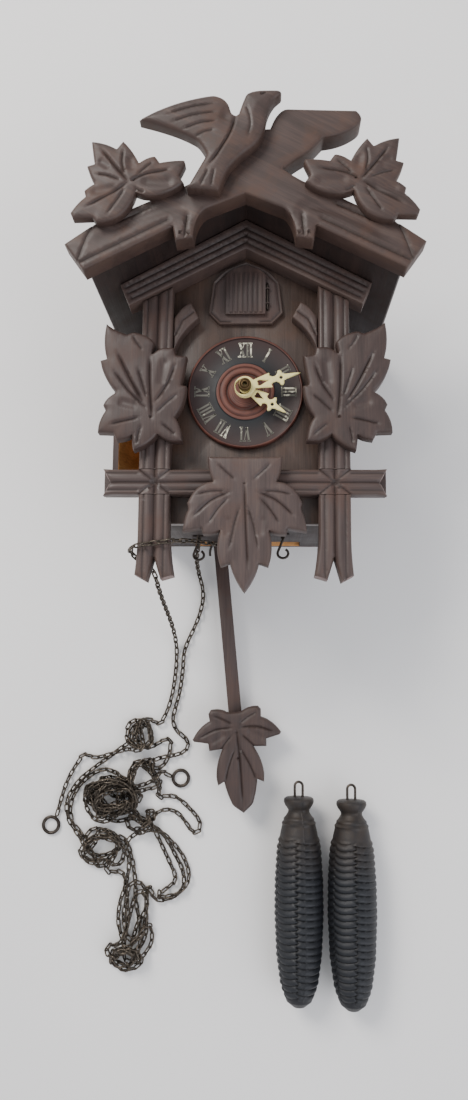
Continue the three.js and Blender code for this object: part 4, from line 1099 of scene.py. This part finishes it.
def stacked(chains: tuple[PullChain, ...]) -> list[np.ndarray]:
    """The chains' lines in the order that they were dropped, each strand lifted over those below it."""
    laid: list[np.ndarray] = []
    skip = int(8 / STRAND_STEP) + 1
    for chain in chains:
        done, held = chain.line(), chain.held()
        for i in range(held, len(done)):
            around = np.concatenate([*laid, done[: max(0, i - skip)]])
            r = np.linalg.norm(around[:, :2] - done[i, :2], axis=1)
            near = (r < CROSS_REACH) & (around[:, 2] < HEAP_TOP + 1)
            if near.any():
                lift = around[near, 2] + LAYER * np.sqrt(1 - (r[near] / CROSS_REACH) ** 2)
                done[i, 2] = min(max(done[i, 2], lift.max()), HEAP_TOP)
        for _ in range(2):
            smooth = done[:, 2].copy()
            smooth[1:-1] = (done[:-2, 2] + 2 * done[1:-1, 2] + done[2:, 2]) / 4
            done[held:, 2] = smooth[held:]
        laid.append(done)
    return laid


def build_chains() -> None:
    tree = link_tree()
    for chain, line in zip(PULL_CHAINS, stacked(PULL_CHAINS)):
        piece = Chain(f"{chain.side}_pull_chain", line, chain.nodes, chain.seed).build(tree)
        chain.ring()
    for chain in PULL_CHAINS:
        chain.inner_run(tree)


# ---- case and carvings --------------------------------------------------------------------------
POST_X = 52.8
BAR_Y = -57.0
BAR_END = 83.0
BAR_HALF = 7.3
POST_INNER = 43.15  # where the bar's blocks end, inside and outside the post
POST_OUTER = 62.45
LAP_HALF = 7.9
LAP_FLOOR = 104.3  # the bar's shell starts here, and its blocks end a little above
SINK = 0.1
LAP_TOP = 103.9
VEIN_WIDTH = 0.78  # veins are cut narrower and shallower than their rows say
VEIN_DEPTH = 0.8
PENDULUM_LEAN = 5.67  # degrees, at rest
PENDULUM_TOP = (-19.8, -70.5)
BOB_DROP = 123.0
BAR_SAWN = 78.0 * MM  # past this distance from the middle a face that looks along the piece is sawn
POST_SAWN = 108.0 * MM


@dataclass
class CaseBoards:
    """Walls, back, bottom, front, roof and side doors: sawn boards with eased edges."""

    inward: dict[str, Point3] = field(default_factory=lambda: {
        "back_panel": (0, 0, 1), "bottom_panel": (0, 1, 0), "left_side_panel": (1, 0, 0),
        "right_side_panel": (-1, 0, 0), "front_panel": (0, 0, -1), "left_side_door": (1, 0, 0),
        "right_side_door": (-1, 0, 0)})

    def build(self) -> None:
        """Makes the boards."""
        stains = {"bottom_panel": "spruce_roof_board_dark", "front_panel": "beech_front_board_stained"}
        for node, bare in self.inward.items():
            softened(node, stains.get(node, "limewood_stained_upright"), 0.6, bare)
        for side in ("left", "right"):
            softened(f"{side}_roof_board", "spruce_roof_board_dark", 0.3)
        bead = np.array([(0.0, 105.9, z) for z in np.linspace(1.0, 136.0, 28)])
        points, faces = tube_mesh(bead, 1.0)
        new_piece("ridge_glue_bead", points, faces, "spruce_roof_board_dark", "case")


@dataclass
class FramePiece(CarvedBoard):
    """A post or the crossbar: two boards half-lapped where they cross, each with a ridged front."""

    def edge_distance(self, points: np.ndarray, loops: list[np.ndarray]) -> np.ndarray:
        """The distance to the nearest open edge; the edges where post and crossbar meet don't count."""
        best = np.full(len(points), FAR)
        for loop in loops:
            if self.node == "crossbar":
                hidden = np.abs(np.abs(loop[:, 0]) - POST_X) < 9.35
            else:
                hidden = np.abs(loop[:, 1] - BAR_Y) < 8.2
            for run in np.split(np.arange(len(loop)), np.flatnonzero(hidden)):
                run = run[~hidden[run]]
                if len(run) > 1:
                    best = np.minimum(best, distance_to_lines(points, loop[run], False)[0])
        return best

    def mould(self) -> Mould:
        """The piece's mesh: carved shells in front and plain blocks behind the laps."""
        made = Mould()
        bottom, top = levels(self.node)
        loops = face_loops(self.node)
        if self.node == "crossbar":
            self.shell(made, [smooth_loop(loops[0], self.pitch)], LAP_FLOOR, top)
            for low, high in ((-BAR_END, -POST_OUTER), (-POST_INNER, POST_INNER), (POST_OUTER, BAR_END)):
                self.block(made, (low, BAR_Y - BAR_HALF), (high, BAR_Y + BAR_HALF), bottom, LAP_FLOOR + SINK)
        else:
            for loop in loops:
                self.shell(made, [smooth_loop(loop, self.pitch)], bottom, top)
            xs = loops[0][:, 0]
            self.block(made, (xs.min(), BAR_Y - LAP_HALF), (xs.max(), BAR_Y + LAP_HALF), bottom, LAP_TOP)
        return made

    def build(self) -> bpy.types.Object:
        """Makes the piece and gives its sawn ends their own finish."""
        piece = super().build()
        along, reach = (0, BAR_SAWN) if self.node == "crossbar" else (1, POST_SAWN)
        second_finish(piece.data, "limewood_end_grain",
                      lambda face: abs(face.normal[along]) > 0.75 and abs(face.center[along]) > reach)
        return piece

    @staticmethod
    def block(made: Mould, low: Point, high: Point, bottom: float, top: float) -> None:
        """Adds a plain block."""
        around = (low, (high[0], low[1]), high, (low[0], high[1]))
        made.add([(x, y, z) for z in (bottom, top) for x, y in around], BOX_FACES)


def straight(*points: Point, width: float = 1.4, depth: float = 1.1, taper: bool = False) -> Cut:
    """A V cut along straight lines through the points."""
    return Cut(tuple(points), width, depth, taper=taper)


def bent(points: tuple[Point, ...], step: float) -> tuple[Point, ...]:
    """A smooth line through three points or more; two stay as they are."""
    return tuple(map(tuple, spline(points, step))) if len(points) > 2 else tuple(points)


def veins(*rows: tuple) -> list[Cut]:
    """Bent V cuts that run out at both ends, from rows of width, depth and points."""
    return [Cut(bent(points, 1.5), width * VEIN_WIDTH, depth * VEIN_DEPTH) for width, depth, *points in rows]


def hollows(*rows: tuple) -> list[Cut]:
    """Soft round hollows, from rows of half width, depth and points."""
    return [Cut(bent(points, 2.0), width, depth, soft=True) for width, depth, *points in rows]


def nail(x: float, y: float) -> Cut:
    """A small nail hole."""
    return Cut(((x - 0.15, y), (x + 0.15, y)), 0.75, 1.2, taper=False)


def carve_pair(name: str, finish: str, side: str, cuts: list[Cut], **shape: float) -> None:
    """Carves the board of one side as drawn, and the other side's as its mirror."""
    other = "left" if side == "right" else "right"
    CarvedBoard(f"{side}_{name}", finish, cuts, **shape).build()
    CarvedBoard(f"{other}_{name}", finish, mirrored(cuts), **shape).build()


@dataclass
class Carvings:
    """Everything carved on the front: crest, bird, leaves, trim, posts, crossbar and arch braces."""

    def crest(self) -> None:
        """The crest board with its two leaves and the bird."""
        half = [
            straight((24.8, 71.5), (26, 78.5), (23, 86.6), (18.5, 90.9), (0, 98.6), width=1.0,
                     depth=0.5),
            straight((43, 84.5), (92.2, 59.5), width=1.1, depth=0.9),
            straight((48.5, 94.5), (76, 81.5), width=1.2, depth=1.0, taper=True),
            straight((94.5, 58), (88.6, 74.8), (85, 82.2), width=1.1, depth=0.7),
            straight((33.6, 73.6), (32, 88.5), width=1.3, depth=1.2, taper=True),
            nail(31, 76.4), nail(36.2, 76.6),
            *hollows((5.5, 0.9, (30, 84), (36, 92), (58, 86), (84, 71))),
        ]
        CarvedBoard("crest_board", "limewood_stained_crest", half + mirrored(half),
                    edge=1.3, dome=0.5, pitch=1.25).build()
        leaf = [
            *veins(
                (1.9, 1.7, (64.5, 103.5), (72, 112.5), (80.5, 123.5)),
                (1.8, 1.5, (64.5, 103.5), (55.5, 108), (41, 111)),
                (1.8, 1.5, (64.5, 103.5), (75, 96.5), (88.5, 89)),
                (1.4, 1.1, (66.5, 107.5), (68.5, 115), (68, 123.5)),
                (1.3, 1, (69, 104.5), (77, 107.5), (83.5, 108.6)),
                (1.3, 1, (66.5, 99.8), (71, 92.5), (76.5, 84.5)),
                (1.2, 0.9, (61.5, 100.4), (58.5, 98.4), (55.5, 97.4)),
                (1.2, 0.9, (60, 107.5), (55, 112.3), (51, 115.5)),
            ),
            *hollows(
                (4.5, 0.9, (58, 104), (47, 103), (39, 103.6)),
                (4, 0.8, (70, 100), (79, 98.5), (86, 98)),
                (3.6, 0.8, (63, 110), (64, 119)),
                (3.6, 0.8, (75, 112), (82, 117)),
            ),
            nail(62, 104.6),
        ]
        carve_pair("crest_leaf", "limewood_stained_crest", "right", leaf, dome=1.0, edge=1.5, pitch=0.85)
        bird = [
            # Body's edges over the wings, from the neck notch down to the tail and on the right side.
            *veins(
                (1.7, 1.6, (-4.6, 142), (-8.5, 130), (-15, 119), (-20.5, 111.5)),
                (1.2, 0.7, (0.6, 149), (3.5, 137), (1.5, 128)),
                # Long feathers of the left wing.
                (1.3, 1, (-16, 149), (-29, 147.2), (-44, 142.8)),
                (1.3, 1, (-15.5, 143.5), (-28, 142), (-41, 138)),
                (1.3, 1, (-15.5, 138), (-25, 137), (-35, 133.6)),
                (1.2, 0.8, (-16.5, 132.6), (-22, 131.8), (-28, 129)),
                # Tail feathers.
                (1.2, 0.9, (-20, 110), (-22.5, 104), (-24.5, 99.6)),
                (1.2, 0.9, (-16.5, 110), (-17.6, 104), (-18.6, 98.8)),
            ),
            # Eye.
            Cut(((9.4, 154.3), (11, 154.9)), 0.7, 1, taper=False),
            *hollows((4, 0.7, (-9, 146), (-12, 138))),
        ]
        CarvedBoard("crest_bird", "limewood_stained_crest", bird, dome=1.6, dome_reach=7.0, edge=1.8,
                    pitch=0.85).build()

    def front(self) -> None:
        """Trim, posts, crossbar, braces and the leaves on them."""
        slope = [straight((0, top), end, width=1.1, depth=0.9)
                 for top, end in ((90.5, (69, 54.8)), (95, (70.8, 58.3)), (99.4, (72.6, 61.8)))]
        CarvedBoard("gable_trim", "limewood_stained_right_slope", slope + mirrored(slope),
                    edge=0.9, dome=0.2, pitch=1.2).build()
        for side in (-1, 1):
            name = "right" if side > 0 else "left"
            x = side * POST_X
            cuts = [straight((x + shift, -118), (x + shift, 62), width=width, depth=depth)
                    for shift, width, depth in ((0, 2.6, 2), (-6, 1, 0.7), (6, 1, 0.7))]
            FramePiece(f"{name}_post", "limewood_stained_upright", cuts, edge=1.5, dome=0.5, dome_reach=3.0,
                       pitch=1.1).build()
            bow = straight((side * 31.5, 48.5), (side * 38, 43.5), (side * 42.3, 34), width=1.1, depth=0.9)
            CarvedBoard(f"{name}_arch_brace", "limewood_stained_upright", [bow], edge=1.0, dome=0.4).build()
        half = [straight((POST_X + i * 1.2, BAR_Y + j), (POST_X + i * 9.4, BAR_Y + j * 7.6), width=1.0,
                         depth=0.9) for i in (-1, 1) for j in (-1, 1)]
        half += [straight((POST_X, BAR_Y - 9), (POST_X, BAR_Y + 9), width=2.6, depth=2.0),
                 nail(POST_X + 2.6, BAR_Y - 3.4)]
        bar = [straight((-80.5, BAR_Y - 0.3), (80.5, BAR_Y - 0.3), width=1.7, depth=1.2)]
        bar += [straight((low, y), (high, y), width=0.9, depth=0.6)
                for low, high in ((-84, -62.2), (-43.4, 43.4), (62.2, 84))
                for y in (BAR_Y + 5, BAR_Y - 5)]
        FramePiece("crossbar", "limewood_stained_across", bar + half + mirrored(half),
                   edge=1.4, dome=0.4, dome_reach=3.0, pitch=1.0).build()

    def leaves(self) -> None:
        """The oak leaves over the posts, the lower leaf and the pendulum's leaf."""
        side = [
            *veins(
                (2, 1.8, (-53.8, -22), (-55.5, -2), (-56, 17)),
                (2, 1.8, (-58.6, -12), (-66.7, 1.7), (-75.5, 19.5)),
                (1.6, 1.3, (-56.5, -16), (-67.8, -4.7), (-77.5, 8.2)),
                (1.5, 1.2, (-57.2, -9), (-60, 0), (-63, 9.6)),
                (1.7, 1.4, (-61.3, -20.8), (-69, -22.5), (-78.5, -24.8)),
                (1.8, 1.5, (-52.5, -12), (-45, 0), (-40.5, 12)),
                (1.4, 1.1, (-51.5, -18), (-45.5, -12), (-39, -6.5)),
                (1.4, 1.1, (-60.5, -25.5), (-62, -32), (-62.3, -37)),
                (1.4, 1.1, (-48.5, -24), (-43.5, -28), (-39.6, -31.5)),
                (1.3, 0.9, (-60, 20), (-64, 25), (-66.5, 30)),
            ),
            *hollows(
                (4, 0.9, (-62, -14), (-74, -11)),
                (4, 0.9, (-49, -2), (-47, 15)),
            ),
            nail(-54.6, -20.5),
        ]
        carve_pair("side_leaf", "limewood_stained_leaf", "left", side, dome=1.1, edge=1.6, pitch=0.9)
        lower = [
            *veins(
                (1.9, 1.6, (0.2, -57.8), (1.2, -86), (2.6, -112)),
                (1.8, 1.5, (-7.2, -64.7), (-18.7, -69.9), (-29.2, -79.3)),
                (1.4, 1.1, (-9.5, -64.5), (-19, -64.6), (-28, -66.6)),
                (1.5, 1.2, (-8.5, -68), (-14.5, -74.5), (-20.5, -83.5)),
                (1.4, 1.1, (-2.1, -73), (-5.4, -84), (-8.4, -98.5)),
                (1.4, 1, (-5, -58), (-11, -52.5), (-15.5, -48)),
            ),
            *hollows((4, 0.9, (-10, -79), (-9, -91))),
        ]
        lower += mirrored(lower[1:]) + [nail(0.4, -60.2)]
        CarvedBoard("lower_leaf", "limewood_stained_upright", lower, dome=1.1, edge=1.6, pitch=0.9).build()
        self.pendulum_leaf()

    def pendulum_leaf(self) -> None:
        """The leaf-shaped bob, its veins set along the pendulum's own lean."""
        lean = math.radians(PENDULUM_LEAN)
        down, across = np.array((math.sin(lean), -math.cos(lean))), np.array((math.cos(lean), math.sin(lean)))
        origin = np.array(PENDULUM_TOP) + BOB_DROP * down

        def at(x: float, y: float) -> Point:
            """A place on the bob, from its top's middle."""
            return tuple(origin + x * across + y * down)

        cuts = [*veins((1.9, 1.6, at(0, 10), at(0.6, 34), at(0, 62))), nail(*at(0, 31)), nail(*at(0.4, 14.5))]
        for s in (-1, 1):
            cuts += veins(
                (1.8, 1.5, at(s * 2, 11), at(s * 14, 11.5), at(s * 26, 16.5)),
                (1.5, 1.1, at(s * 2, 9), at(s * 9, 4.5), at(s * 15, 2)),
                (1.5, 1.2, at(s * 2.5, 15), at(s * 10, 23), at(s * 15, 32)),
                (1.6, 1.3, at(s * 1.5, 24), at(s * 7, 36), at(s * 10.5, 47)),
            )
            cuts += hollows((3.6, 0.8, at(s * 7, 14), at(s * 18, 20)))
        CarvedBoard("pendulum_leaf", "limewood_stained_leaf", cuts, dome=1.1, edge=1.6, pitch=0.85).build()

    def build(self) -> None:
        """Makes every carved piece."""
        self.crest()
        self.front()
        self.leaves()


# ---- dial and hands -----------------------------------------------------------------------------
NUMERALS = ("I", "II", "III", "IIII", "V", "VI", "VII", "VIII", "IX", "X", "XI", "XII")
NUMERAL_FADE = {5: 0.9, 6: 0.5, 8: 0.55, 9: 0.5, 10: 0.6, 11: 0.45, 2: 0.15, 4: 0.2}  # by hour
LETTER_WIDTH = {"I": 2.15, "V": 4.3, "X": 4.4}
STROKES = {  # of each letter: start, end and width, with 0 at the foot and 1 at the head
    "I": (((0.0, 0), (0.0, 1), 1.1),),
    "V": (((-1.4, 1), (0.0, 0), 1.25), ((1.4, 1), (0.0, 0), 0.55)),
    "X": (((-1.4, 1), (1.4, 0), 1.25), ((1.4, 1), (-1.4, 0), 0.55)),
}
NUMERAL_FOOT = 22.0  # radius of the numerals' feet and heads
NUMERAL_HEAD = 30.4
FOIL_TOP = 101.42
FOIL_DEPTH = 0.2
SERIF_HALF = 1.0
SERIF_WIDTH = 0.75
MINUTE_HAND_TURN = 76.0  # clockwise from the twelve, in degrees
HOUR_HAND_TURN = 122.0
HAND_BOSS = 6.2  # radius of the crescent round the nut
HAND_ROOT = 5.7  # where the blade starts
HAND_THICKNESS = 1.0


def arc(radius: float, start: int, end: int, step: int, middle: float = 0.0) -> list[Point]:
    """Points on a round line about (0, middle), from one angle to before another, clockwise from the top."""
    angles = np.radians(np.arange(start, end, step))
    return [(radius * math.sin(a), radius * math.cos(a) + middle) for a in angles]


@dataclass
class HandShape:
    """A pierced hand that points up: a crescent round the nut, a barbed blade and a cross-guard."""

    node: str
    length: float
    turn: float
    bottom: float
    half: tuple[Point, ...] = (
        (2.6, 5.7), (3.2, 8.6), (3.9, 12.2), (4.5, 15.8), (2.7, 15.6), (1.8, 17.0), (1.7, 18.8), (2.7, 20.2),
        (4.4, 20.9), (4.8, 22.0), (3.9, 23.0), (2.2, 23.4), (1.5, 25.2), (1.2, 28.2), (0.6, 32.0))
    heart: tuple[Point, ...] = (
        (0.0, 8.1), (0.8, 7.6), (1.7, 8.2), (1.6, 9.6), (0.9, 11.4), (0.3, 13.2), (0.0, 14.8))

    def loops(self) -> list[np.ndarray]:
        """The outline and the holes, in the row frame."""
        share = (self.length - 6) / 28.0
        half, heart = ([(x, HAND_ROOT + (y - HAND_ROOT) * share) for x, y in line]
                       for line in (self.half, self.heart))
        outline = [(0.0, self.length), *reversed(half), *arc(HAND_BOSS, 30, 331, 10)[1:-1]]
        outline += [(-x, y) for x, y in half]
        crescent = arc(4.55, 40, 321, 10, -1.2) + arc(3.3, 325, 34, -10)
        heart += [(-x, y) for x, y in reversed(heart[1:-1])]
        eye = arc(1.0, 0, 360, 30, HAND_ROOT + 16.3 * share)
        a = math.radians(self.turn)
        spin = np.array(((math.cos(a), -math.sin(a)), (math.sin(a), math.cos(a))))
        out = []
        for loop in (np.array(line) for line in (outline[::-1], crescent, heart, eye)):
            area = np.sum(loop[:, 0] * np.roll(loop[:, 1], -1) - np.roll(loop[:, 0], -1) * loop[:, 1])
            is_outline = not out
            out.append((loop if (area > 0) == is_outline else loop[::-1]) @ spin)
        return out

    def build(self) -> None:
        """Makes the hand."""
        board = CarvedBoard(self.node, "plastic_ivory_moulded", edge=0.32, dome=0.12, dome_reach=1.0,
                            pitch=0.6)
        made = Mould()
        board.shell(made, self.loops(), self.bottom, self.bottom + HAND_THICKNESS)
        new_piece(f"{self.node}_pierced", made.points, made.faces, board.finish, body_of_node(self.node),
                  (self.node,))


def foil_bar(made: Mould, hour: int, a: Point, b: Point, width: float) -> None:
    """Adds one bar of foil, drawn at the twelve and turned to its hour."""
    start, end = np.array(a), np.array(b)
    along = end - start
    side = np.array((-along[1], along[0])) / np.linalg.norm(along) * width / 2
    turn = math.radians(30 * hour)
    corners = [(x * math.cos(turn) + y * math.sin(turn), -x * math.sin(turn) + y * math.cos(turn))
               for x, y in (start + side, start - side, end - side, end + side)]
    made.add([(x, y, z) for z in (FOIL_TOP - FOIL_DEPTH, FOIL_TOP) for x, y in corners], BOX_FACES,
             wear=[NUMERAL_FADE.get(hour, 0.0)] * 8)


def build_numerals() -> None:
    """Makes the twelve numerals as thin foil on the black ring, feet to the centre."""
    made = Mould()
    for hour, text in enumerate(NUMERALS, start=1):
        at = -sum(LETTER_WIDTH[c] for c in text) / 2
        for c in text:
            middle = at + LETTER_WIDTH[c] / 2
            bars = [[(middle + x, NUMERAL_HEAD if up else NUMERAL_FOOT) for x, up in stroke[:2]]
                    for stroke in STROKES[c]]
            for (start, end), (_, _, width) in zip(bars, STROKES[c]):
                foil_bar(made, hour, start, end, width)
            for x, y in (tip for bar in bars for tip in bar):
                if c != "V" or y == NUMERAL_HEAD:
                    foil_bar(made, hour, (x - SERIF_HALF, y), (x + SERIF_HALF, y), SERIF_WIDTH)
            at += LETTER_WIDTH[c]
    new_piece("dial_numerals", made.points, made.faces, "numeral_foil_cream", body_of_node("dial"),
              smooth=False, marks={"fade": made.wear})


def build_dial() -> None:
    """Makes the dial and what turns on it."""
    profile = [(3.3, 98.3), (33.6, 98.3), (35.0, 99.2), (35.0, 100.9), (34.7, 101.8), (34.1, 102.3),
               (33.5, 102.2), (33.2, 101.5), (32.7, 101.3), (18.3, 101.3), (17.8, 101.5), (17.4, 102.1),
               (16.6, 102.3), (15.7, 102.2), (15.2, 101.7), (14.6, 102.1), (12.4, 102.2), (11.8, 101.9),
               (11.4, 101.1), (10.7, 100.9), (10.1, 101.2), (9.7, 102.0), (8.9, 102.2), (6.2, 102.3),
               (3.3, 102.3)]
    points, faces = lathe(profile, 128)
    radii = np.hypot(points[:, 0], points[:, 1])
    # Painted shade: points beside the beads' grooves are marked to darken.
    dirt_and_shade_mask = np.min([np.abs(radii - r) for r in (11.0, 15.2, 33.1)], axis=0) < 0.45
    new_piece("dial_turned", points, faces, "turned_dial_wood_black_ring", body_of_node("dial"),
              ("dial",), marks={"groove_shade": dirt_and_shade_mask})
    build_numerals()
    HandShape("minute_hand", 34.0, MINUTE_HAND_TURN, 111.3).build()
    HandShape("hour_hand", 29.0, HOUR_HAND_TURN, 108.3).build()


def build_nut() -> None:
    """Makes the round knurled nut that holds the hands."""
    profile = [(1.4, 112.65), (3.5, 112.65), (3.8, 113.0), (3.8, 116.2), (3.5, 116.7), (2.9, 116.9),
               (2.5, 116.6), (2.1, 117.1), (1.4, 117.2)]
    points, faces = lathe(profile, 96)
    knurled = points.reshape(96, len(profile), 3)
    knurled[1::2, 2:4, :2] *= 0.955
    new_piece("hand_nut_knurled", points, faces, "brass_turned_browned", body_of_node("hand_nut"),
              ("hand_nut",))


# ---- weights ------------------------------------------------------------------------------------
@dataclass
class PineConeWeight:
    """A cast-iron weight in the shape of a spruce cone, with a wire eye in its top."""

    node: str
    x: float
    top_y: float
    turn: float  # of the scale pattern about the weight's axis, in degrees
    length: float = 131.0
    axis_z: float = 15.6
    columns: int = 132  # of mesh points round it
    scale_rows: int = 24
    scales_from: float = 5.0
    scales_to: float = 106.0
    borders: tuple[float, ...] = (0.0, 118.0, 178.0, 238.0, 299.0, 360.0)  # between columns of scales
    profile: tuple[Point, ...] = (
        (0.0, 0.0), (0.4, 4.2), (4.0, 8.6), (15.0, 12.0), (32.0, 14.4), (58.0, 15.6), (78.0, 15.4),
        (98.0, 14.2), (108.0, 12.4), (113.0, 11.2), (114.2, 11.6), (115.6, 10.3), (117.0, 10.4), (118.4, 8.9),
        (121.0, 7.4), (122.6, 7.3), (125.5, 9.4), (127.6, 10.3), (129.6, 10.0), (130.6, 8.4), (131.0, 0.0))

    def casting(self) -> tuple[np.ndarray, list, dict[str, np.ndarray]]:
        """The cone's points, faces and marks: rows of overlapping scales, a seam, grime at the neck, and
        painted shade between the scales and in the neck's groove.
        """
        tip, neck = np.linspace(0, 6, 12)[:-1], np.linspace(108, self.length, 31)[1:]
        y = np.concatenate([tip, np.linspace(6, 108, 194), neck])
        base = np.interp(y, *zip(*self.profile))[None, :]
        around, up = np.meshgrid(np.linspace(0, 2 * math.pi, self.columns, endpoint=False), y, indexing="ij")
        row = (up - self.scales_from) / (self.scales_to - self.scales_from) * self.scale_rows
        angle = (np.degrees(around) + self.turn) % 360
        borders = np.array(self.borders)
        zigzag = (angle + 9.0 * (2 * np.abs(row % 1 - 0.5) - 0.5)) % 360
        column = np.searchsorted(borders[1:-1], zigzag, side="right")
        middle = (borders[:-1] + borders[1:])[column] / 2
        across = np.clip((zigzag - middle) / (np.diff(borders)[column] / 2), -1, 1)
        scale = (row + 0.5 * (column % 2) - 0.34 * across**2) % 1  # 0 at a scale's root, 1 at its lip
        relief = 1.3 * np.sin(scale**0.7 * math.pi) ** 0.75 - 0.5
        edge_dip = -0.5 * np.clip((np.abs(across) - 0.86) / 0.14, 0, 1)
        fade = np.clip((up - self.scales_from) / 4, 0, 1) * np.clip((self.scales_to - up) / 2.5, 0, 1)
        radius = np.maximum(base - 0.35 + (relief + edge_dip) * fade, 0.0)
        seam = 0.3 * np.exp(-(((angle + 84) % 360 - 180) / 1.6) ** 2) * (up > 4)
        radius = radius + np.where(base > 4, seam, 0)
        # Painted shade marks: the roots between scales, the columns' edges and the neck's groove.
        between = np.clip(1 - np.minimum(scale, 1 - scale) / 0.2, 0, 1)
        groove_shade = (between + np.clip((np.abs(across) - 0.9) / 0.1, 0, 1)) * fade
        groove_shade = np.maximum(groove_shade, np.exp(-((up - 121.8) / 1.6) ** 2))
        wear = np.clip((up - 80) / 34, 0, 1) + 0.25 * np.clip(1 - up / 10, 0, 1)
        points = np.stack([self.x + radius * np.cos(around), self.top_y - self.length + up,
                           np.maximum(self.axis_z + radius * np.sin(around), 0.02)], axis=-1).reshape(-1, 3)
        count = len(y)
        faces = [(a + j, a + j + 1, b + j + 1, b + j)
                 for a, b in ((i * count, (i + 1) % self.columns * count) for i in range(self.columns))
                 for j in range(count - 1)]
        marks = {"groove_shade": groove_shade, "wear": wear}
        return points, faces, {name: np.clip(mark, 0, 1).reshape(-1) for name, mark in marks.items()}

    def build(self) -> None:
        """Makes the casting and its eye."""
        body = body_of_node(self.node)
        points, faces, marks = self.casting()
        new_piece(f"{self.node}_casting", points, faces, "cast_iron_blue_black_paint", body,
                  (self.node,), marks=marks)
        leg, bend = [(2.5, -1.5), (2.6, 3.0)], np.radians(np.linspace(0, 180, 13))
        eye = leg + [(2.6 * math.cos(a), 6.4 + 2.8 * math.sin(a)) for a in bend]
        eye += [(-x, y) for x, y in reversed(leg)]
        line = spline([(self.x + x, self.top_y + y, self.axis_z) for x, y in eye], 0.8)
        points, faces = tube_mesh(line, 0.85)
        new_piece(f"{self.node}_eye", points, faces, "steel_wire_dull", body)


# ---- what keeps the frame's own shape -----------------------------------------------------------
PLAIN = {
    "steel_wire_dull": ("door_hinge_wire", "centre_arbor", "anchor", "gong", "hammer", "pendulum_hook"),
    "bird_paint_brown": ("cuckoo_bird",),
    "brass_stamped_dull": ("movement_back_plate", "movement_front_plate", "hour_wheel", "time_great_wheel",
                           "strike_great_wheel", "escape_wheel", "pin_wheel", "fly"),
}


def build_plain_parts() -> None:
    """Dresses the frame's nodes that keep their shape and eases the wooden ones' edges."""
    for finish, nodes in PLAIN.items():
        for node in nodes:
            FINISHES.dress(frame["nodes"][node], finish)
    for node in ("left_whistle_box", "right_whistle_box", "left_bellows_lid", "right_bellows_lid"):
        softened(node, "spruce_bare_aged", 0.3)
    for node in ("cuckoo_door", "pendulum_rod"):
        softened(node, "limewood_stained_upright", 0.3)
    right = [(9.0, 44.5), (15.4, 44.8), (21.0, 50.6), (18.7, 69.0), (11.6, 76.0)]
    left = [(-x, y) for x, y in reversed(right)]
    rim = straight(*right, (0.0, 81.2), *left, width=1.0, depth=0.6)
    CarvedBoard("door_surround", "limewood_stained_upright", [rim], edge=0.7, dome=0.2).build()


# ---- stage --------------------------------------------------------------------------------------
@dataclass
class Stage:
    """Camera, floor and light."""

    place: Point3 = (0.011757, -0.165238, 0.607583)
    right: Point3 = (0.99940, 0.00822, -0.03388)
    up: Point3 = (-0.00356, 0.99079, 0.13540)
    ahead: Point3 = (-0.03468, 0.13520, -0.99021)
    lens: float = 28.487
    floor_half: float = 3.0

    def camera(self) -> None:
        """Sets the camera that looks down on the clock."""
        data = bpy.data.cameras.new("camera")
        data.lens, data.sensor_width, data.sensor_fit = self.lens, 36.0, "AUTO"
        data.clip_start = 0.01
        camera = new_object("camera", data)
        turn = Matrix((Vector(self.right), Vector(self.up), -Vector(self.ahead))).transposed()
        camera.matrix_world = Matrix.Translation(Vector(self.place)) @ turn.to_4x4()
        bpy.context.scene.camera = camera

    def lamp(self, name: str, place: Point3, aim: Point3, size: float, power: float, colour: str) -> None:
        """Hangs a square lamp."""
        data = bpy.data.lights.new(name, "AREA")
        data.size, data.energy, data.color = size, power, linear(colour)[:3]
        lamp = new_object(name, data)
        lamp.location = place
        lamp.rotation_euler = (Vector(aim) - Vector(place)).to_track_quat("-Z", "Y").to_euler()

    def floor(self) -> None:
        """Lays a white paper floor."""
        material, tree, shader, where = start_material("paper_sweep_white")
        cloud = noise(tree, where, 180.0, 3.0, 0.5)
        colour = mix_colour(tree, spread(tree, cloud, 0.3, 0.7), "#f7f6f5", "#f3f2f2")
        tree.links.new(colour, shader.inputs["Base Color"])
        shader.inputs["Roughness"].default_value = 0.9
        mesh = bpy.data.meshes.new("floor")
        far = self.floor_half
        mesh.from_pydata([(-far, -far, 0), (far, -far, 0), (far, far, 0), (-far, far, 0)], [], [(0, 1, 2, 3)])
        mesh.materials.append(material)
        new_object("floor", mesh)

    def build(self) -> None:
        """Lays the floor and lights it."""
        self.floor()
        self.lamp("key", (-0.8, 0.85, 1.25), (0.0, -0.05, 0.0), 0.7, 26.0, "#fffaf4")
        self.lamp("fill", (1.2, -0.9, 1.2), (0.0, -0.1, 0.0), 1.4, 14.0, "#f6f7ff")
        world = bpy.context.scene.world or bpy.data.worlds.new("world")
        bpy.context.scene.world = world
        world.use_nodes = True
        sky = world.node_tree.nodes.get("Background")
        sky.inputs["Color"].default_value = linear("#eef0f4")
        sky.inputs["Strength"].default_value = 0.85


def main() -> None:
    """Builds the looks, the camera and the cords first."""
    logging.basicConfig(level=logging.INFO, format="%(name)s: %(message)s")
    stage = Stage()
    stage.camera()
    FINISHES.build()
    build_chains()
    CaseBoards().build()
    Carvings().build()
    build_dial()
    build_nut()
    PineConeWeight("left_weight", 35.1, -248.1, 20.0).build()
    PineConeWeight("right_weight", 69.6, -249.6, 32.0).build()
    build_plain_parts()
    stage.build()


if __name__ == "__main__":
    main()
